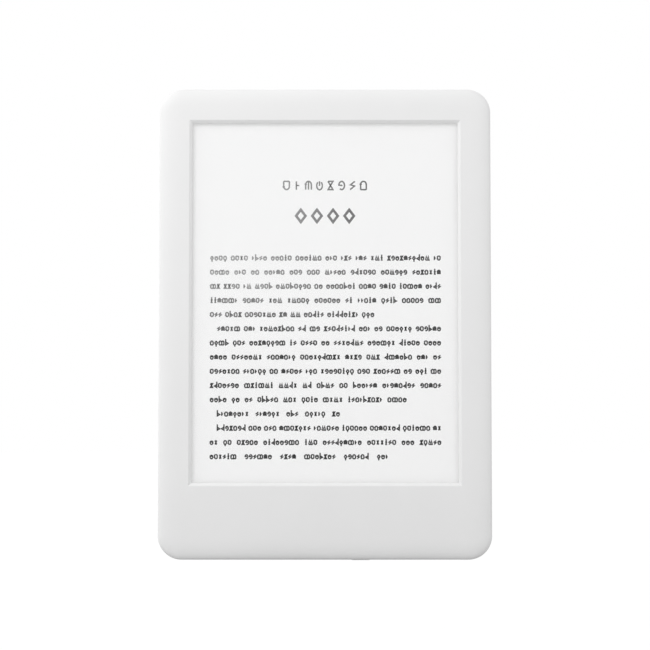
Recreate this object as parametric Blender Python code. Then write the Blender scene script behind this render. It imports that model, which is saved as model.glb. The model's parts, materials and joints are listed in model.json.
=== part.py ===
"""A pocket e-reader with a 6-inch e-paper screen, built as its separate physical pieces.

The device stands upright with its screen facing -Y. X runs to the right across the screen,
Y from the screen to the back and Z up the screen. The origin is under the middle of the
bottom edge, level with the tip of the power button. Blender's unit is the metre.
"""

from collections import namedtuple
from math import cos, pi, radians, sin

import bmesh
import bpy
from mathutils import Vector

MM = 0.001

# ---------------------------------------------------------------- driving dimensions

BODY_WIDTH = 113.0 * MM
BODY_HEIGHT = 160.0 * MM
BODY_DEPTH = 8.7 * MM
CORNER_RADIUS = 8.1 * MM
BUTTON_PROUD = 0.35 * MM

WINDOW_WIDTH = 92.4 * MM
WINDOW_HEIGHT = 124.4 * MM
TOP_BAND = 10.75 * MM
CHAMFER_WIDTH = 1.0 * MM
CHAMFER_DEPTH = 0.85 * MM

FRONT_ROLL_WIDTH = 7.5 * MM
FRONT_ROLL_DEPTH = 2.2 * MM
FRONT_ROLL_POWER = 2.6
BACK_ROLL_WIDTH = 6.0 * MM
BACK_ROLL_DEPTH = 3.15 * MM
REAR_WALL = 1.2 * MM
SIDE_WALL = 1.5 * MM
SEAM_FROM_FRONT = 3.1 * MM
SEAM_GAP = 0.1 * MM

BUTTON_CENTRE_X = 12.1 * MM
BUTTON_WIDTH = 6.4 * MM
BUTTON_HEIGHT = 1.7 * MM
LED_X = 6.3 * MM

# Clearances between neighbouring pieces
LAYER_GAP = 0.05 * MM
SIDE_GAP = 0.3 * MM

# ---------------------------------------------------------------- places worked out from them

FRONT_Y = -BODY_DEPTH / 2
BACK_Y = BODY_DEPTH / 2
SEAM_Y = FRONT_Y + SEAM_FROM_FRONT
REAR_INSIDE_Y = BACK_Y - REAR_WALL
BODY_BOTTOM = BUTTON_PROUD
BODY_TOP = BODY_BOTTOM + BODY_HEIGHT

CORNER_STEPS = 9
SMALL_CORNER_STEPS = 3
MERGE_DISTANCE = 1e-6

Area = namedtuple("Area", "left right bottom top")


def grown(area, by):
    """The same area with every side moved out by this much, or in where it is negative."""
    return Area(area.left - by, area.right + by, area.bottom - by, area.top + by)


def centred(u, v, width, height):
    return Area(u - width / 2, u + width / 2, v - height / 2, v + height / 2)


BODY = Area(-BODY_WIDTH / 2, BODY_WIDTH / 2, BODY_BOTTOM, BODY_TOP)
WINDOW = Area(
    -WINDOW_WIDTH / 2,
    WINDOW_WIDTH / 2,
    BODY_TOP - TOP_BAND - WINDOW_HEIGHT,
    BODY_TOP - TOP_BAND,
)

# The layers from front to back: each starts where the one in front ends, plus a gap
BEZEL_UNDER_WINDOW_Y = FRONT_Y + CHAMFER_DEPTH + 0.15 * MM
BEZEL_UNDER_EDGE_Y = FRONT_Y + 1.55 * MM
COVER_LAYER_Y = (BEZEL_UNDER_WINDOW_Y + LAYER_GAP, BEZEL_UNDER_WINDOW_Y + LAYER_GAP + 0.35 * MM)
LIGHT_GUIDE_Y = (COVER_LAYER_Y[1] + LAYER_GAP, COVER_LAYER_Y[1] + LAYER_GAP + 0.55 * MM)
PANEL_Y = (LIGHT_GUIDE_Y[1] + LAYER_GAP, LIGHT_GUIDE_Y[1] + LAYER_GAP + 1.15 * MM)
PANEL_TAPE_Y = (PANEL_Y[1] + LAYER_GAP, PANEL_Y[1] + LAYER_GAP + 0.15 * MM)
WEB_Y = (PANEL_TAPE_Y[1] + LAYER_GAP, PANEL_TAPE_Y[1] + LAYER_GAP + 0.7 * MM)
BATTERY_TAPE_Y = (WEB_Y[1] + LAYER_GAP, WEB_Y[1] + LAYER_GAP + 0.15 * MM)
BATTERY_Y = (BATTERY_TAPE_Y[1] + LAYER_GAP, REAR_INSIDE_Y - 3 * LAYER_GAP)
BEZEL_TAPE_Y = (BEZEL_UNDER_EDGE_Y + LAYER_GAP, BEZEL_UNDER_EDGE_Y + LAYER_GAP + 0.15 * MM)
FRAME_RIM_Y = BEZEL_TAPE_Y[1] + LAYER_GAP
GASKET_Y = (BEZEL_UNDER_EDGE_Y + LAYER_GAP, PANEL_Y[0] - LAYER_GAP)
BOARD_Y = (WEB_Y[1] + 0.3 * MM, WEB_Y[1] + 1.1 * MM)
PARTS_Y = BOARD_Y[1] + LAYER_GAP

# Outlines of the layers, seen from the front
LAYER_AREA = Area(
    WINDOW.left - 2.8 * MM,
    WINDOW.right + 2.8 * MM,
    WINDOW.bottom - 4.6 * MM,
    WINDOW.top + 2.2 * MM,
)
PANEL_HEIGHT = 138.4 * MM
PANEL_AREA = Area(-50.9 * MM, 50.9 * MM, WINDOW.top + 3.8 * MM - PANEL_HEIGHT, WINDOW.top + 3.8 * MM)
BEZEL_POCKET = Area(-49.4 * MM, 49.4 * MM, 9.0 * MM, LAYER_AREA.top + SIDE_GAP)
LIP_OUTSIDE = SIDE_WALL + 0.15 * MM
LIP_INSIDE = LIP_OUTSIDE + 0.9 * MM
LIP_END_Y = WEB_Y[1] - 0.1 * MM
FRAME_AREA = grown(BODY, -(LIP_INSIDE + 0.25 * MM))
FRAME_RADIUS = CORNER_RADIUS - LIP_INSIDE - 0.25 * MM
FRAME_POCKET = Area(-51.2 * MM, 51.2 * MM, 8.0 * MM, PANEL_AREA.top + SIDE_GAP)
RIBBON_SLOT_Z = 11.5 * MM
RIBBON_SLOT_HEIGHT = 3.0 * MM

# Frame screws, in the rim round the display, and the smaller screws that hold the board
FRAME_SCREW_PLACES = [
    (-36.0 * MM, BODY_TOP - 4.75 * MM),
    (36.0 * MM, BODY_TOP - 4.75 * MM),
    (-52.35 * MM, 112.0 * MM),
    (52.35 * MM, 112.0 * MM),
    (-52.35 * MM, 52.0 * MM),
    (52.35 * MM, 52.0 * MM),
    (-40.0 * MM, 5.6 * MM),
    (40.0 * MM, 5.6 * MM),
]
BOARD_SCREW_PLACES = [(-37.0 * MM, 43.0 * MM), (41.0 * MM, 43.0 * MM), (-6.5 * MM, 12.5 * MM)]
FRAME_SHANK_RADIUS = 0.75 * MM
BOARD_SHANK_RADIUS = 0.65 * MM
SCREW_SIDES = 12
FRAME_SCREW_LENGTH = 2.95 * MM
BOARD_SCREW_LENGTH = 1.5 * MM

# Board: a wide part above and a tongue that reaches down to the sockets on the bottom edge
BOARD_MAIN = Area(-40.0 * MM, 44.0 * MM, 15.6 * MM, 46.0 * MM)
BOARD_TONGUE = Area(-9.0 * MM, 19.5 * MM, 3.45 * MM, 15.6 * MM)

# Ribbons: left and right sides, where the front end starts (y, z), all ending on the board
DISPLAY_RIBBON_X = (-34.0 * MM, -14.0 * MM)
TOUCH_RIBBON_X = (24.0 * MM, 32.0 * MM)
LIGHT_RIBBON_X = (34.5 * MM, 38.5 * MM)
RIBBON_THICKNESS = 0.12 * MM
RIBBON_BEND = 0.8 * MM
RIBBON_BACK_Y = PARTS_Y + 0.4 * MM
CONNECTOR_Z = (18.0 * MM, 21.0 * MM)

# Charging socket, open towards -Z
USB_WIDTH = 7.5 * MM
USB_HEIGHT = 2.55 * MM
USB_SHEET = 0.25 * MM
USB_FRONT_Y = WEB_Y[1] + LAYER_GAP
USB_MOUTH_Z = BODY_BOTTOM + 0.3 * MM
USB_BACK_Z = USB_MOUTH_Z + 5.0 * MM

# Power button, switch and charge light, all worked along Z
BUTTON_FRONT_Y = 0.15 * MM
BUTTON_TRAVEL = 0.25 * MM
SWITCH_Y = (PARTS_Y, PARTS_Y + 1.4 * MM)
SWITCH_Z = (4.9 * MM, 7.4 * MM)
PLUNGER_Z = (4.25 * MM, 5.6 * MM)
LED_PIPE_Y = 0.9 * MM
LED_PIPE_RADIUS = 0.45 * MM

BATTERY_AREA = Area(-27.0 * MM, 27.0 * MM, 54.0 * MM, 116.0 * MM)
CELL_BOARD_AREA = Area(-22.0 * MM, 22.0 * MM, 50.6 * MM, 53.6 * MM)
BATTERY_PLUG_AREA = Area(-17.6 * MM, -13.9 * MM, 45.9 * MM, 47.9 * MM)
ANTENNA_AREA = Area(20.0 * MM, 44.0 * MM, 140.0 * MM, 148.0 * MM)
ANTENNA_SOCKET_PLACE = (37.0 * MM, 37.0 * MM)

# ---------------------------------------------------------------- finishes

Finish = namedtuple("Finish", "colour roughness metallic")

WHITE_SHELL = Finish((0.82, 0.82, 0.81), 0.55, 0.0)
WHITE_BUTTON = Finish((0.80, 0.80, 0.79), 0.45, 0.0)
CLEAR_LAYER = Finish((0.88, 0.88, 0.87), 0.35, 0.0)
E_PAPER = Finish((0.86, 0.86, 0.84), 0.60, 0.0)
BLACK_FOAM = Finish((0.03, 0.03, 0.03), 0.95, 0.0)
BLACK_PLASTIC = Finish((0.02, 0.02, 0.022), 0.50, 0.0)
GREY_PLASTIC = Finish((0.55, 0.55, 0.54), 0.50, 0.0)
MILKY_PLASTIC = Finish((0.85, 0.85, 0.80), 0.40, 0.0)
LED_YELLOW = Finish((0.90, 0.82, 0.45), 0.40, 0.0)
ALLOY = Finish((0.62, 0.63, 0.64), 0.45, 0.9)
STEEL = Finish((0.56, 0.56, 0.57), 0.35, 1.0)
TINPLATE = Finish((0.68, 0.69, 0.70), 0.30, 1.0)
GREEN_BOARD = Finish((0.02, 0.14, 0.07), 0.45, 0.0)
AMBER_FILM = Finish((0.45, 0.20, 0.04), 0.40, 0.0)
POUCH_SILVER = Finish((0.60, 0.61, 0.62), 0.40, 0.5)
RED_WIRE = Finish((0.60, 0.03, 0.02), 0.50, 0.0)
BLACK_WIRE = Finish((0.02, 0.02, 0.02), 0.50, 0.0)
FERRITE = Finish((0.10, 0.10, 0.11), 0.70, 0.0)

# ---------------------------------------------------------------- outlines and bodies


def outline(area, radius=0.0, steps=CORNER_STEPS):
    """Points round a rectangle with rounded corners, starting at its lower right corner."""
    corners = [
        (area.right - radius, area.bottom + radius, -90),
        (area.right - radius, area.top - radius, 0),
        (area.left + radius, area.top - radius, 90),
        (area.left + radius, area.bottom + radius, 180),
    ]
    points = []
    for centre_u, centre_v, start in corners:
        for step in range(steps + 1):
            angle = radians(start + 90 * step / steps)
            points.append((centre_u + radius * cos(angle), centre_v + radius * sin(angle)))
    return points


def circle(centre, radius, sides=SCREW_SIDES, lobe=1.0):
    """Points round a circle; a lobe under 1 pulls every second point in, as in a star drive."""
    points = []
    for side in range(sides):
        angle = 2 * pi * side / sides
        reach = radius * (lobe if side % 2 else 1.0)
        points.append((centre[0] + reach * cos(angle), centre[1] + reach * sin(angle)))
    return points


def in_space(point, level, axis):
    u, v = point
    if axis == "X":
        return (level, u, v)
    if axis == "Y":
        return (u, level, v)
    return (u, v, level)


def loft(rings, axis="Y", ring_shaped=False):
    """One closed body through outlines of equal point count, each at a level along the axis.

    A ring-shaped body joins its last outline to its first; any other is capped at both ends.
    Points that coincide, as at a sharp corner, are merged.
    """
    shape = bmesh.new()
    loops = []
    for points, level in rings:
        loops.append([shape.verts.new(in_space(point, level, axis)) for point in points])
    pairs = list(zip(loops, loops[1:]))
    if ring_shaped:
        pairs.append((loops[-1], loops[0]))
    else:
        shape.faces.new(loops[0])
        shape.faces.new(loops[-1])
    for first, second in pairs:
        for here in range(len(first)):
            after = (here + 1) % len(first)
            shape.faces.new((first[here], first[after], second[after], second[here]))
    bmesh.ops.remove_doubles(shape, verts=shape.verts, dist=MERGE_DISTANCE)
    bmesh.ops.recalc_face_normals(shape, faces=shape.faces)
    return shape


def plate(area, levels, radius=0.0, axis="Y", steps=SMALL_CORNER_STEPS):
    """A flat slab with the given outline, between two levels along the axis."""
    points = outline(area, radius, steps)
    return loft([(points, levels[0]), (points, levels[1])], axis)


def rod(centre, radius, levels, axis="Y", sides=SCREW_SIDES):
    points = circle(centre, radius, sides)
    return loft([(points, levels[0]), (points, levels[1])], axis)


def soft_plate(area, levels, radius, edge, axis="Y", steps=SMALL_CORNER_STEPS):
    """A slab whose two faces are smaller than its waist, so that its edges are eased."""
    low, high = levels
    return loft(
        [
            (outline(grown(area, -edge), max(radius - edge, 0.0), steps), low),
            (outline(area, radius, steps), low + edge),
            (outline(area, radius, steps), high - edge),
            (outline(grown(area, -edge), max(radius - edge, 0.0), steps), high),
        ],
        axis,
    )


def frame_ring(outer, inner, levels, outer_radius=0.0, inner_radius=0.0):
    """A flat ring, such as a gasket, between an outer and an inner outline."""
    outside = outline(outer, outer_radius, SMALL_CORNER_STEPS)
    inside = outline(inner, inner_radius, SMALL_CORNER_STEPS)
    front, back = levels
    rings = [(outside, front), (outside, back), (inside, back), (inside, front)]
    return loft(rings, ring_shaped=True)


def can(area, levels, wall, radius, axis="Y"):
    """A lid open at its first level, such as a shield over chips."""
    open_level, closed_level = levels
    towards_open = -wall if closed_level > open_level else wall
    outside = outline(area, radius, SMALL_CORNER_STEPS)
    inside = outline(grown(area, -wall), max(radius - wall, 0.0), SMALL_CORNER_STEPS)
    return loft(
        [
            (inside, closed_level + towards_open),
            (inside, open_level),
            (outside, open_level),
            (outside, closed_level),
        ],
        axis,
    )


def joined(shapes):
    """One mesh that holds several separate closed bodies."""
    whole = bmesh.new()
    for shape in shapes:
        mesh = bpy.data.meshes.new("joining")
        shape.to_mesh(mesh)
        whole.from_mesh(mesh)
        bpy.data.meshes.remove(mesh)
        shape.free()
    return whole


def rounded_route(corners, radius, steps=4):
    """A path of straight runs in the YZ plane with a round bend at each inner corner."""
    points = [Vector(corners[0])]
    for before, corner, after in zip(corners, corners[1:], corners[2:]):
        corner = Vector(corner)
        back = (Vector(before) - corner).normalized()
        ahead = (Vector(after) - corner).normalized()
        centre = corner + (back + ahead) * radius
        for step in range(steps + 1):
            angle = pi / 2 * step / steps
            points.append(centre - ahead * radius * cos(angle) - back * radius * sin(angle))
    points.append(Vector(corners[-1]))
    return points


def ribbon(sides, corners, thickness=RIBBON_THICKNESS):
    """A flat flexible cable: a thin strip that follows a route and spans the two sides in X."""
    route = rounded_route(corners, RIBBON_BEND)
    one_side = []
    other_side = []
    for index, point in enumerate(route):
        before = route[max(index - 1, 0)]
        after = route[min(index + 1, len(route) - 1)]
        along = (after - before).normalized()
        across = Vector((-along.y, along.x)) * thickness / 2
        one_side.append(tuple(point + across))
        other_side.append(tuple(point - across))
    section = one_side + other_side[::-1]
    return loft([(section, sides[0]), (section, sides[1])], axis="X")


def smooth_route(points, steps=4):
    """Points along a smooth curve that passes through every given point."""
    places = [Vector(point) for point in points]
    places = [places[0]] + places + [places[-1]]
    curve = []
    for a, b, c, d in zip(places, places[1:], places[2:], places[3:]):
        for step in range(steps):
            t = step / steps
            curve.append(
                0.5
                * (
                    2 * b
                    + (c - a) * t
                    + (2 * a - 5 * b + 4 * c - d) * t * t
                    + (3 * b - a - 3 * c + d) * t**3
                )
            )
    curve.append(places[-1])
    return curve


# ---------------------------------------------------------------- objects


def clear_scene():
    for item in list(bpy.data.objects):
        bpy.data.objects.remove(item, do_unlink=True)


def make_material(name, finish):
    material = bpy.data.materials.new(name)
    material.use_nodes = True
    shader = material.node_tree.nodes["Principled BSDF"]
    shader.inputs["Base Color"].default_value = (*finish.colour, 1.0)
    shader.inputs["Roughness"].default_value = finish.roughness
    shader.inputs["Metallic"].default_value = finish.metallic
    return material


def link(item, parent):
    bpy.context.scene.collection.objects.link(item)
    item.parent = parent
    return item


def mesh_from(name, shape, origin, smooth=True):
    """Turns a body modelled in device coordinates into a mesh about its own origin."""
    bmesh.ops.translate(shape, verts=shape.verts, vec=-Vector(origin))
    mesh = bpy.data.meshes.new(name)
    shape.to_mesh(mesh)
    shape.free()
    if smooth:
        mesh.shade_smooth()
        mesh.set_sharp_from_angle(angle=radians(30))
    return mesh


def add_piece(name, shape, finish, parent, origin=(0.0, 0.0, 0.0)):
    item = bpy.data.objects.new(name, mesh_from(name, shape, origin))
    item.data.materials.append(make_material(name, finish))
    item.location = origin
    return link(item, parent)


def combine(target, name, shapes, operation):
    """Joins shapes to the target, or cuts them from it, through a guide that isn't a piece.

    The guide's faces are flat-shaded, which keeps every edge that it makes crisp.
    """
    guide_mesh = mesh_from(name, joined(shapes), (0.0, 0.0, 0.0), smooth=False)
    guide = bpy.data.objects.new(name, guide_mesh)
    link(guide, None)
    guide.hide_render = True
    guide.display_type = "WIRE"
    modifier = target.modifiers.new(name, "BOOLEAN")
    modifier.solver = "EXACT"
    modifier.operation = operation
    modifier.object = guide


def add_cable(name, points, diameter, finish, parent):
    """A round wire along a smooth curve through the points, closed at both ends."""
    curve = bpy.data.curves.new(name, "CURVE")
    curve.dimensions = "3D"
    curve.bevel_depth = diameter / 2
    curve.bevel_resolution = 2
    curve.use_fill_caps = True
    route = smooth_route(points)
    spline = curve.splines.new("POLY")
    spline.points.add(len(route) - 1)
    for spot, place in zip(spline.points, route):
        spot.co = (*place, 1.0)
    curve.materials.append(make_material(name, finish))
    return link(bpy.data.objects.new(name, curve), parent)


# ---------------------------------------------------------------- casing


def front_roll(steps=6):
    """(inset, level) pairs over the rolled edge of the front, from the side to the flat face."""
    pairs = []
    for step in range(1, steps + 1):
        inset = FRONT_ROLL_WIDTH * (step / steps) ** 2
        share = 1 - inset / FRONT_ROLL_WIDTH
        rise = (1 - share**FRONT_ROLL_POWER) ** (1 / FRONT_ROLL_POWER)
        pairs.append((inset, FRONT_Y + FRONT_ROLL_DEPTH * (1 - rise)))
    return pairs


def quarter_ellipse(start_inset, width, start_level, depth, steps=5):
    """(inset, level) pairs from a wall, over a quarter ellipse, to a flat back."""
    pairs = []
    for step in range(steps + 1):
        angle = pi / 2 * step / steps
        pairs.append((start_inset + width * (1 - cos(angle)), start_level + depth * sin(angle)))
    return pairs


def body_ring(inset, level):
    """The body's own outline, moved in, at a level from the front."""
    radius = max(CORNER_RADIUS - inset, 0.5 * MM)
    return (outline(grown(BODY, -inset), radius), level)


def make_front_bezel(parent):
    rim = SEAM_Y - SEAM_GAP
    opening = grown(WINDOW, -CHAMFER_WIDTH)
    rings = [body_ring(0.0, rim), body_ring(0.0, FRONT_Y + FRONT_ROLL_DEPTH)]
    rings += [body_ring(inset, level) for inset, level in front_roll()]
    rings += [
        (outline(WINDOW), FRONT_Y),
        (outline(opening), FRONT_Y + CHAMFER_DEPTH),
        (outline(opening), BEZEL_UNDER_WINDOW_Y),
        (outline(BEZEL_POCKET, 1.0 * MM), BEZEL_UNDER_WINDOW_Y),
        (outline(BEZEL_POCKET, 1.0 * MM), BEZEL_UNDER_EDGE_Y),
        body_ring(LIP_INSIDE, BEZEL_UNDER_EDGE_Y),
        body_ring(LIP_INSIDE, LIP_END_Y),
        body_ring(LIP_OUTSIDE, LIP_END_Y),
        body_ring(LIP_OUTSIDE, rim),
    ]
    add_piece("front_bezel", loft(rings, ring_shaped=True), WHITE_SHELL, parent)


def usb_opening():
    area = centred(0.0, USB_FRONT_Y + USB_HEIGHT / 2, USB_WIDTH + 0.5 * MM, USB_HEIGHT + 0.4 * MM)
    return plate(area, (-1.0 * MM, 4.5 * MM), 0.6 * MM, axis="Z")


def button_area(margin=0.0):
    height = BUTTON_HEIGHT + 2 * margin
    centre_y = BUTTON_FRONT_Y + BUTTON_HEIGHT / 2
    return centred(BUTTON_CENTRE_X, centre_y, BUTTON_WIDTH + 2 * margin, height)


def button_opening():
    area = button_area(0.12 * MM)
    return plate(area, (-1.0 * MM, 3.0 * MM), (area.top - area.bottom) / 2 - LAYER_GAP, "Z", 5)


def make_rear_cover(parent):
    outer_start = BACK_Y - BACK_ROLL_DEPTH
    outside = quarter_ellipse(0.0, BACK_ROLL_WIDTH, outer_start, BACK_ROLL_DEPTH)
    inside_depth = REAR_INSIDE_Y - outer_start
    inside = quarter_ellipse(SIDE_WALL, 4.6 * MM, outer_start, inside_depth)
    profile = outside[::-1] + [(0.0, SEAM_Y), (SIDE_WALL, SEAM_Y)] + inside
    shell = loft([body_ring(inset, level) for inset, level in profile])
    cover = add_piece("rear_cover", shell, WHITE_SHELL, parent)

    boss_y = (WEB_Y[1] + 0.1 * MM, REAR_INSIDE_Y + 0.25 * MM)
    bosses = [rod(place, 1.7 * MM, boss_y, sides=14) for place in FRAME_SCREW_PLACES]
    rib_y = (0.4 * MM, REAR_INSIDE_Y + 0.25 * MM)
    rib_gap = 0.6 * MM
    rib = 0.8 * MM
    bay = grown(BATTERY_AREA, rib_gap)
    ribs = [
        plate(Area(bay.left - rib, bay.left, bay.bottom, bay.top), rib_y),
        plate(Area(bay.right, bay.right + rib, bay.bottom, bay.top), rib_y),
        plate(Area(bay.left + rib, bay.right - rib, bay.top + rib, bay.top + 2 * rib), rib_y),
    ]
    combine(cover, "rear_cover_bosses", bosses + ribs, "UNION")

    bore_y = (boss_y[0] - 0.1 * MM, 2.4 * MM)
    bores = [rod(place, FRAME_SHANK_RADIUS + 0.1 * MM, bore_y) for place in FRAME_SCREW_PLACES]
    led_hole = rod((LED_X, LED_PIPE_Y), LED_PIPE_RADIUS + 0.1 * MM, (-1.0 * MM, 3.0 * MM), "Z")
    openings = bores + [usb_opening(), button_opening(), led_hole]
    combine(cover, "rear_cover_openings", openings, "DIFFERENCE")


def make_mid_frame(parent):
    tray = plate(FRAME_AREA, (FRAME_RIM_Y, WEB_Y[1]), FRAME_RADIUS, steps=CORNER_STEPS)
    frame = add_piece("mid_frame", tray, ALLOY, parent)
    pocket = plate(FRAME_POCKET, (FRAME_RIM_Y - 1.0 * MM, WEB_Y[0]), 1.0 * MM)
    combine(frame, "mid_frame_pocket", [pocket], "DIFFERENCE")

    notches = []
    for place in FRAME_SCREW_PLACES:
        notch = centred(*place, 6.5 * MM, 6.5 * MM)
        notches.append(plate(notch, (FRAME_RIM_Y - 1.0 * MM, WEB_Y[0])))
    combine(frame, "mid_frame_notches", notches, "DIFFERENCE")

    pad_y = (WEB_Y[1] - 0.2 * MM, BOARD_Y[0] - LAYER_GAP)
    pads = [rod(place, 2.0 * MM, pad_y) for place in BOARD_SCREW_PLACES]
    combine(frame, "mid_frame_pads", pads, "UNION")

    through = (WEB_Y[0] - 0.5 * MM, BOARD_Y[0] + 0.5 * MM)
    holes = [rod(place, FRAME_SHANK_RADIUS + 0.2 * MM, through) for place in FRAME_SCREW_PLACES]
    holes += [rod(place, BOARD_SHANK_RADIUS + 0.1 * MM, through) for place in BOARD_SCREW_PLACES]
    for left, right in (DISPLAY_RIBBON_X, (TOUCH_RIBBON_X[0], LIGHT_RIBBON_X[1])):
        slot = centred((left + right) / 2, RIBBON_SLOT_Z, right - left + 2 * MM, RIBBON_SLOT_HEIGHT)
        holes.append(plate(slot, through, 0.5 * MM))
    combine(frame, "mid_frame_holes", holes, "DIFFERENCE")


def make_seals(parent):
    tape_outside = grown(FRAME_AREA, -0.1 * MM)
    tape_inside = grown(FRAME_POCKET, 0.1 * MM)
    tape = frame_ring(tape_outside, tape_inside, BEZEL_TAPE_Y, FRAME_RADIUS, 1.0 * MM)
    add_piece("bezel_adhesive", tape, BLACK_FOAM, parent)

    gasket_outside = grown(PANEL_AREA, -0.1 * MM)
    gasket_inside = Area(
        LAYER_AREA.left - SIDE_GAP,
        LAYER_AREA.right + SIDE_GAP,
        PANEL_AREA.bottom + 2.0 * MM,
        LAYER_AREA.top + 0.2 * MM,
    )
    gasket = frame_ring(gasket_outside, gasket_inside, GASKET_Y)
    add_piece("dust_gasket", gasket, BLACK_FOAM, parent)


# ---------------------------------------------------------------- display


def make_display_layers(parent):
    cover_layer = plate(LAYER_AREA, COVER_LAYER_Y, 1.0 * MM)
    add_piece("touch_cover_layer", cover_layer, CLEAR_LAYER, parent)
    light_guide = plate(LAYER_AREA, LIGHT_GUIDE_Y, 1.0 * MM)
    add_piece("front_light_guide", light_guide, CLEAR_LAYER, parent)


def make_epaper_panel(parent):
    """Glass at the back, and the ink film in front of it, which leaves a ledge at the bottom."""
    glass = outline(PANEL_AREA, 0.3 * MM, SMALL_CORNER_STEPS)
    ledge = 6.5 * MM
    film_area = Area(
        PANEL_AREA.left + 0.7 * MM,
        PANEL_AREA.right - 0.7 * MM,
        PANEL_AREA.bottom + ledge,
        PANEL_AREA.top - 0.7 * MM,
    )
    film = outline(film_area, 0.3 * MM, SMALL_CORNER_STEPS)
    step_y = PANEL_Y[0] + 0.55 * MM
    rings = [(film, PANEL_Y[0]), (film, step_y), (glass, step_y), (glass, PANEL_Y[1])]
    add_piece("epaper_panel", loft(rings), E_PAPER, parent)

    chip_area = centred(0.0, PANEL_AREA.bottom + ledge / 2, 16.0 * MM, 1.6 * MM)
    chip_y = (step_y - 0.35 * MM, step_y - LAYER_GAP)
    add_piece("display_driver_chip", plate(chip_area, chip_y), BLACK_PLASTIC, parent)

    tape = plate(grown(PANEL_AREA, -6.0 * MM), PANEL_TAPE_Y, 1.0 * MM)
    add_piece("panel_adhesive", tape, BLACK_FOAM, parent)


def make_front_light(parent):
    """Four small lamps along the lower edge of the light guide, on one flexible strip."""
    strip_area = Area(-46.0 * MM, 46.0 * MM, LAYER_AREA.bottom - 3.0 * MM, LAYER_AREA.bottom - 0.1 * MM)
    strip_y = (COVER_LAYER_Y[1] - 0.1 * MM, LIGHT_GUIDE_Y[0] - 0.03 * MM)
    strip = plate(strip_area, strip_y, 0.3 * MM)
    add_piece("front_light_strip", strip, AMBER_FILM, parent)
    lamps = 4
    spacing = 23.0 * MM
    for index in range(lamps):
        x = (index - (lamps - 1) / 2) * spacing
        area = Area(
            x - 1.5 * MM,
            x + 1.5 * MM,
            LAYER_AREA.bottom - 1.1 * MM,
            LAYER_AREA.bottom - 0.1 * MM,
        )
        lamp = plate(area, (LIGHT_GUIDE_Y[0], LIGHT_GUIDE_Y[1] - LAYER_GAP))
        add_piece(f"front_light_led_{index + 1}", lamp, LED_YELLOW, parent)


def make_ribbons(parent):
    board_end = [(RIBBON_BACK_Y, RIBBON_SLOT_Z), (RIBBON_BACK_Y, CONNECTOR_Z[0] - 0.1 * MM)]
    panel_middle = (PANEL_Y[0] + 0.55 * MM + PANEL_Y[1]) / 2
    strip_middle = COVER_LAYER_Y[1] - 0.04 * MM
    starts = {
        "display": (DISPLAY_RIBBON_X, panel_middle, PANEL_AREA.bottom - 0.1 * MM),
        "touch": (TOUCH_RIBBON_X, COVER_LAYER_Y[0] + 0.1 * MM, LAYER_AREA.bottom - 0.1 * MM),
        "light": (LIGHT_RIBBON_X, strip_middle, LAYER_AREA.bottom - 3.1 * MM),
    }
    for name, (sides, start_y, start_z) in starts.items():
        corners = [(start_y, start_z), (start_y, RIBBON_SLOT_Z)] + board_end
        add_piece(f"{name}_ribbon", ribbon(sides, corners), AMBER_FILM, parent)
        socket = Area(sides[0] - 0.6 * MM, sides[1] + 0.6 * MM, *CONNECTOR_Z)
        body = soft_plate(socket, (PARTS_Y, PARTS_Y + 1.0 * MM), 0.2 * MM, 0.1 * MM)
        add_piece(f"{name}_connector", body, GREY_PLASTIC, parent)


# ---------------------------------------------------------------- electronics


def make_main_board(parent):
    main = plate(BOARD_MAIN, BOARD_Y, 0.8 * MM)
    board = add_piece("main_board", main, GREEN_BOARD, parent)
    tongue_area = BOARD_TONGUE._replace(top=BOARD_MAIN.bottom + 1.0 * MM)
    combine(board, "main_board_tongue", [plate(tongue_area, BOARD_Y, 0.5 * MM)], "UNION")
    through = (BOARD_Y[0] - 0.5 * MM, BOARD_Y[1] + 0.5 * MM)
    socket_notch = Area(
        -USB_WIDTH / 2 - SIDE_GAP,
        USB_WIDTH / 2 + SIDE_GAP,
        BOARD_TONGUE.bottom - 1.0 * MM,
        USB_BACK_Z + SIDE_GAP,
    )
    holes = [plate(socket_notch, through)]
    holes += [rod(place, BOARD_SHANK_RADIUS + SIDE_GAP, through) for place in BOARD_SCREW_PLACES]
    combine(board, "main_board_holes", holes, "DIFFERENCE")


def make_chips(parent):
    """Flat chips on the back of the board: name, area and height."""
    chips = [
        ("processor_chip", Area(-10.5 * MM, 2.0 * MM, 27.5 * MM, 40.0 * MM), 1.0 * MM),
        ("memory_chip", Area(4.0 * MM, 14.0 * MM, 27.0 * MM, 40.0 * MM), 0.9 * MM),
        ("storage_chip", Area(-33.0 * MM, -21.5 * MM, 27.0 * MM, 40.0 * MM), 1.0 * MM),
        ("power_chip", Area(-10.0 * MM, -4.0 * MM, 16.5 * MM, 22.5 * MM), 0.85 * MM),
        ("radio_chip", Area(23.0 * MM, 29.0 * MM, 33.0 * MM, 39.0 * MM), 0.8 * MM),
        ("cover_sensor", Area(38.5 * MM, 41.5 * MM, 26.0 * MM, 28.0 * MM), 0.8 * MM),
    ]
    for name, area, height in chips:
        body = soft_plate(area, (PARTS_Y, PARTS_Y + height), 0.2 * MM, 0.1 * MM, steps=1)
        add_piece(name, body, BLACK_PLASTIC, parent)
    for index, x in enumerate((1.5 * MM, 7.0 * MM)):
        area = centred(x, 19.5 * MM, 4.0 * MM, 4.0 * MM)
        coil = soft_plate(area, (PARTS_Y, PARTS_Y + 1.5 * MM), 0.9 * MM, 0.2 * MM)
        add_piece(f"power_inductor_{index + 1}", coil, FERRITE, parent)


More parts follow.
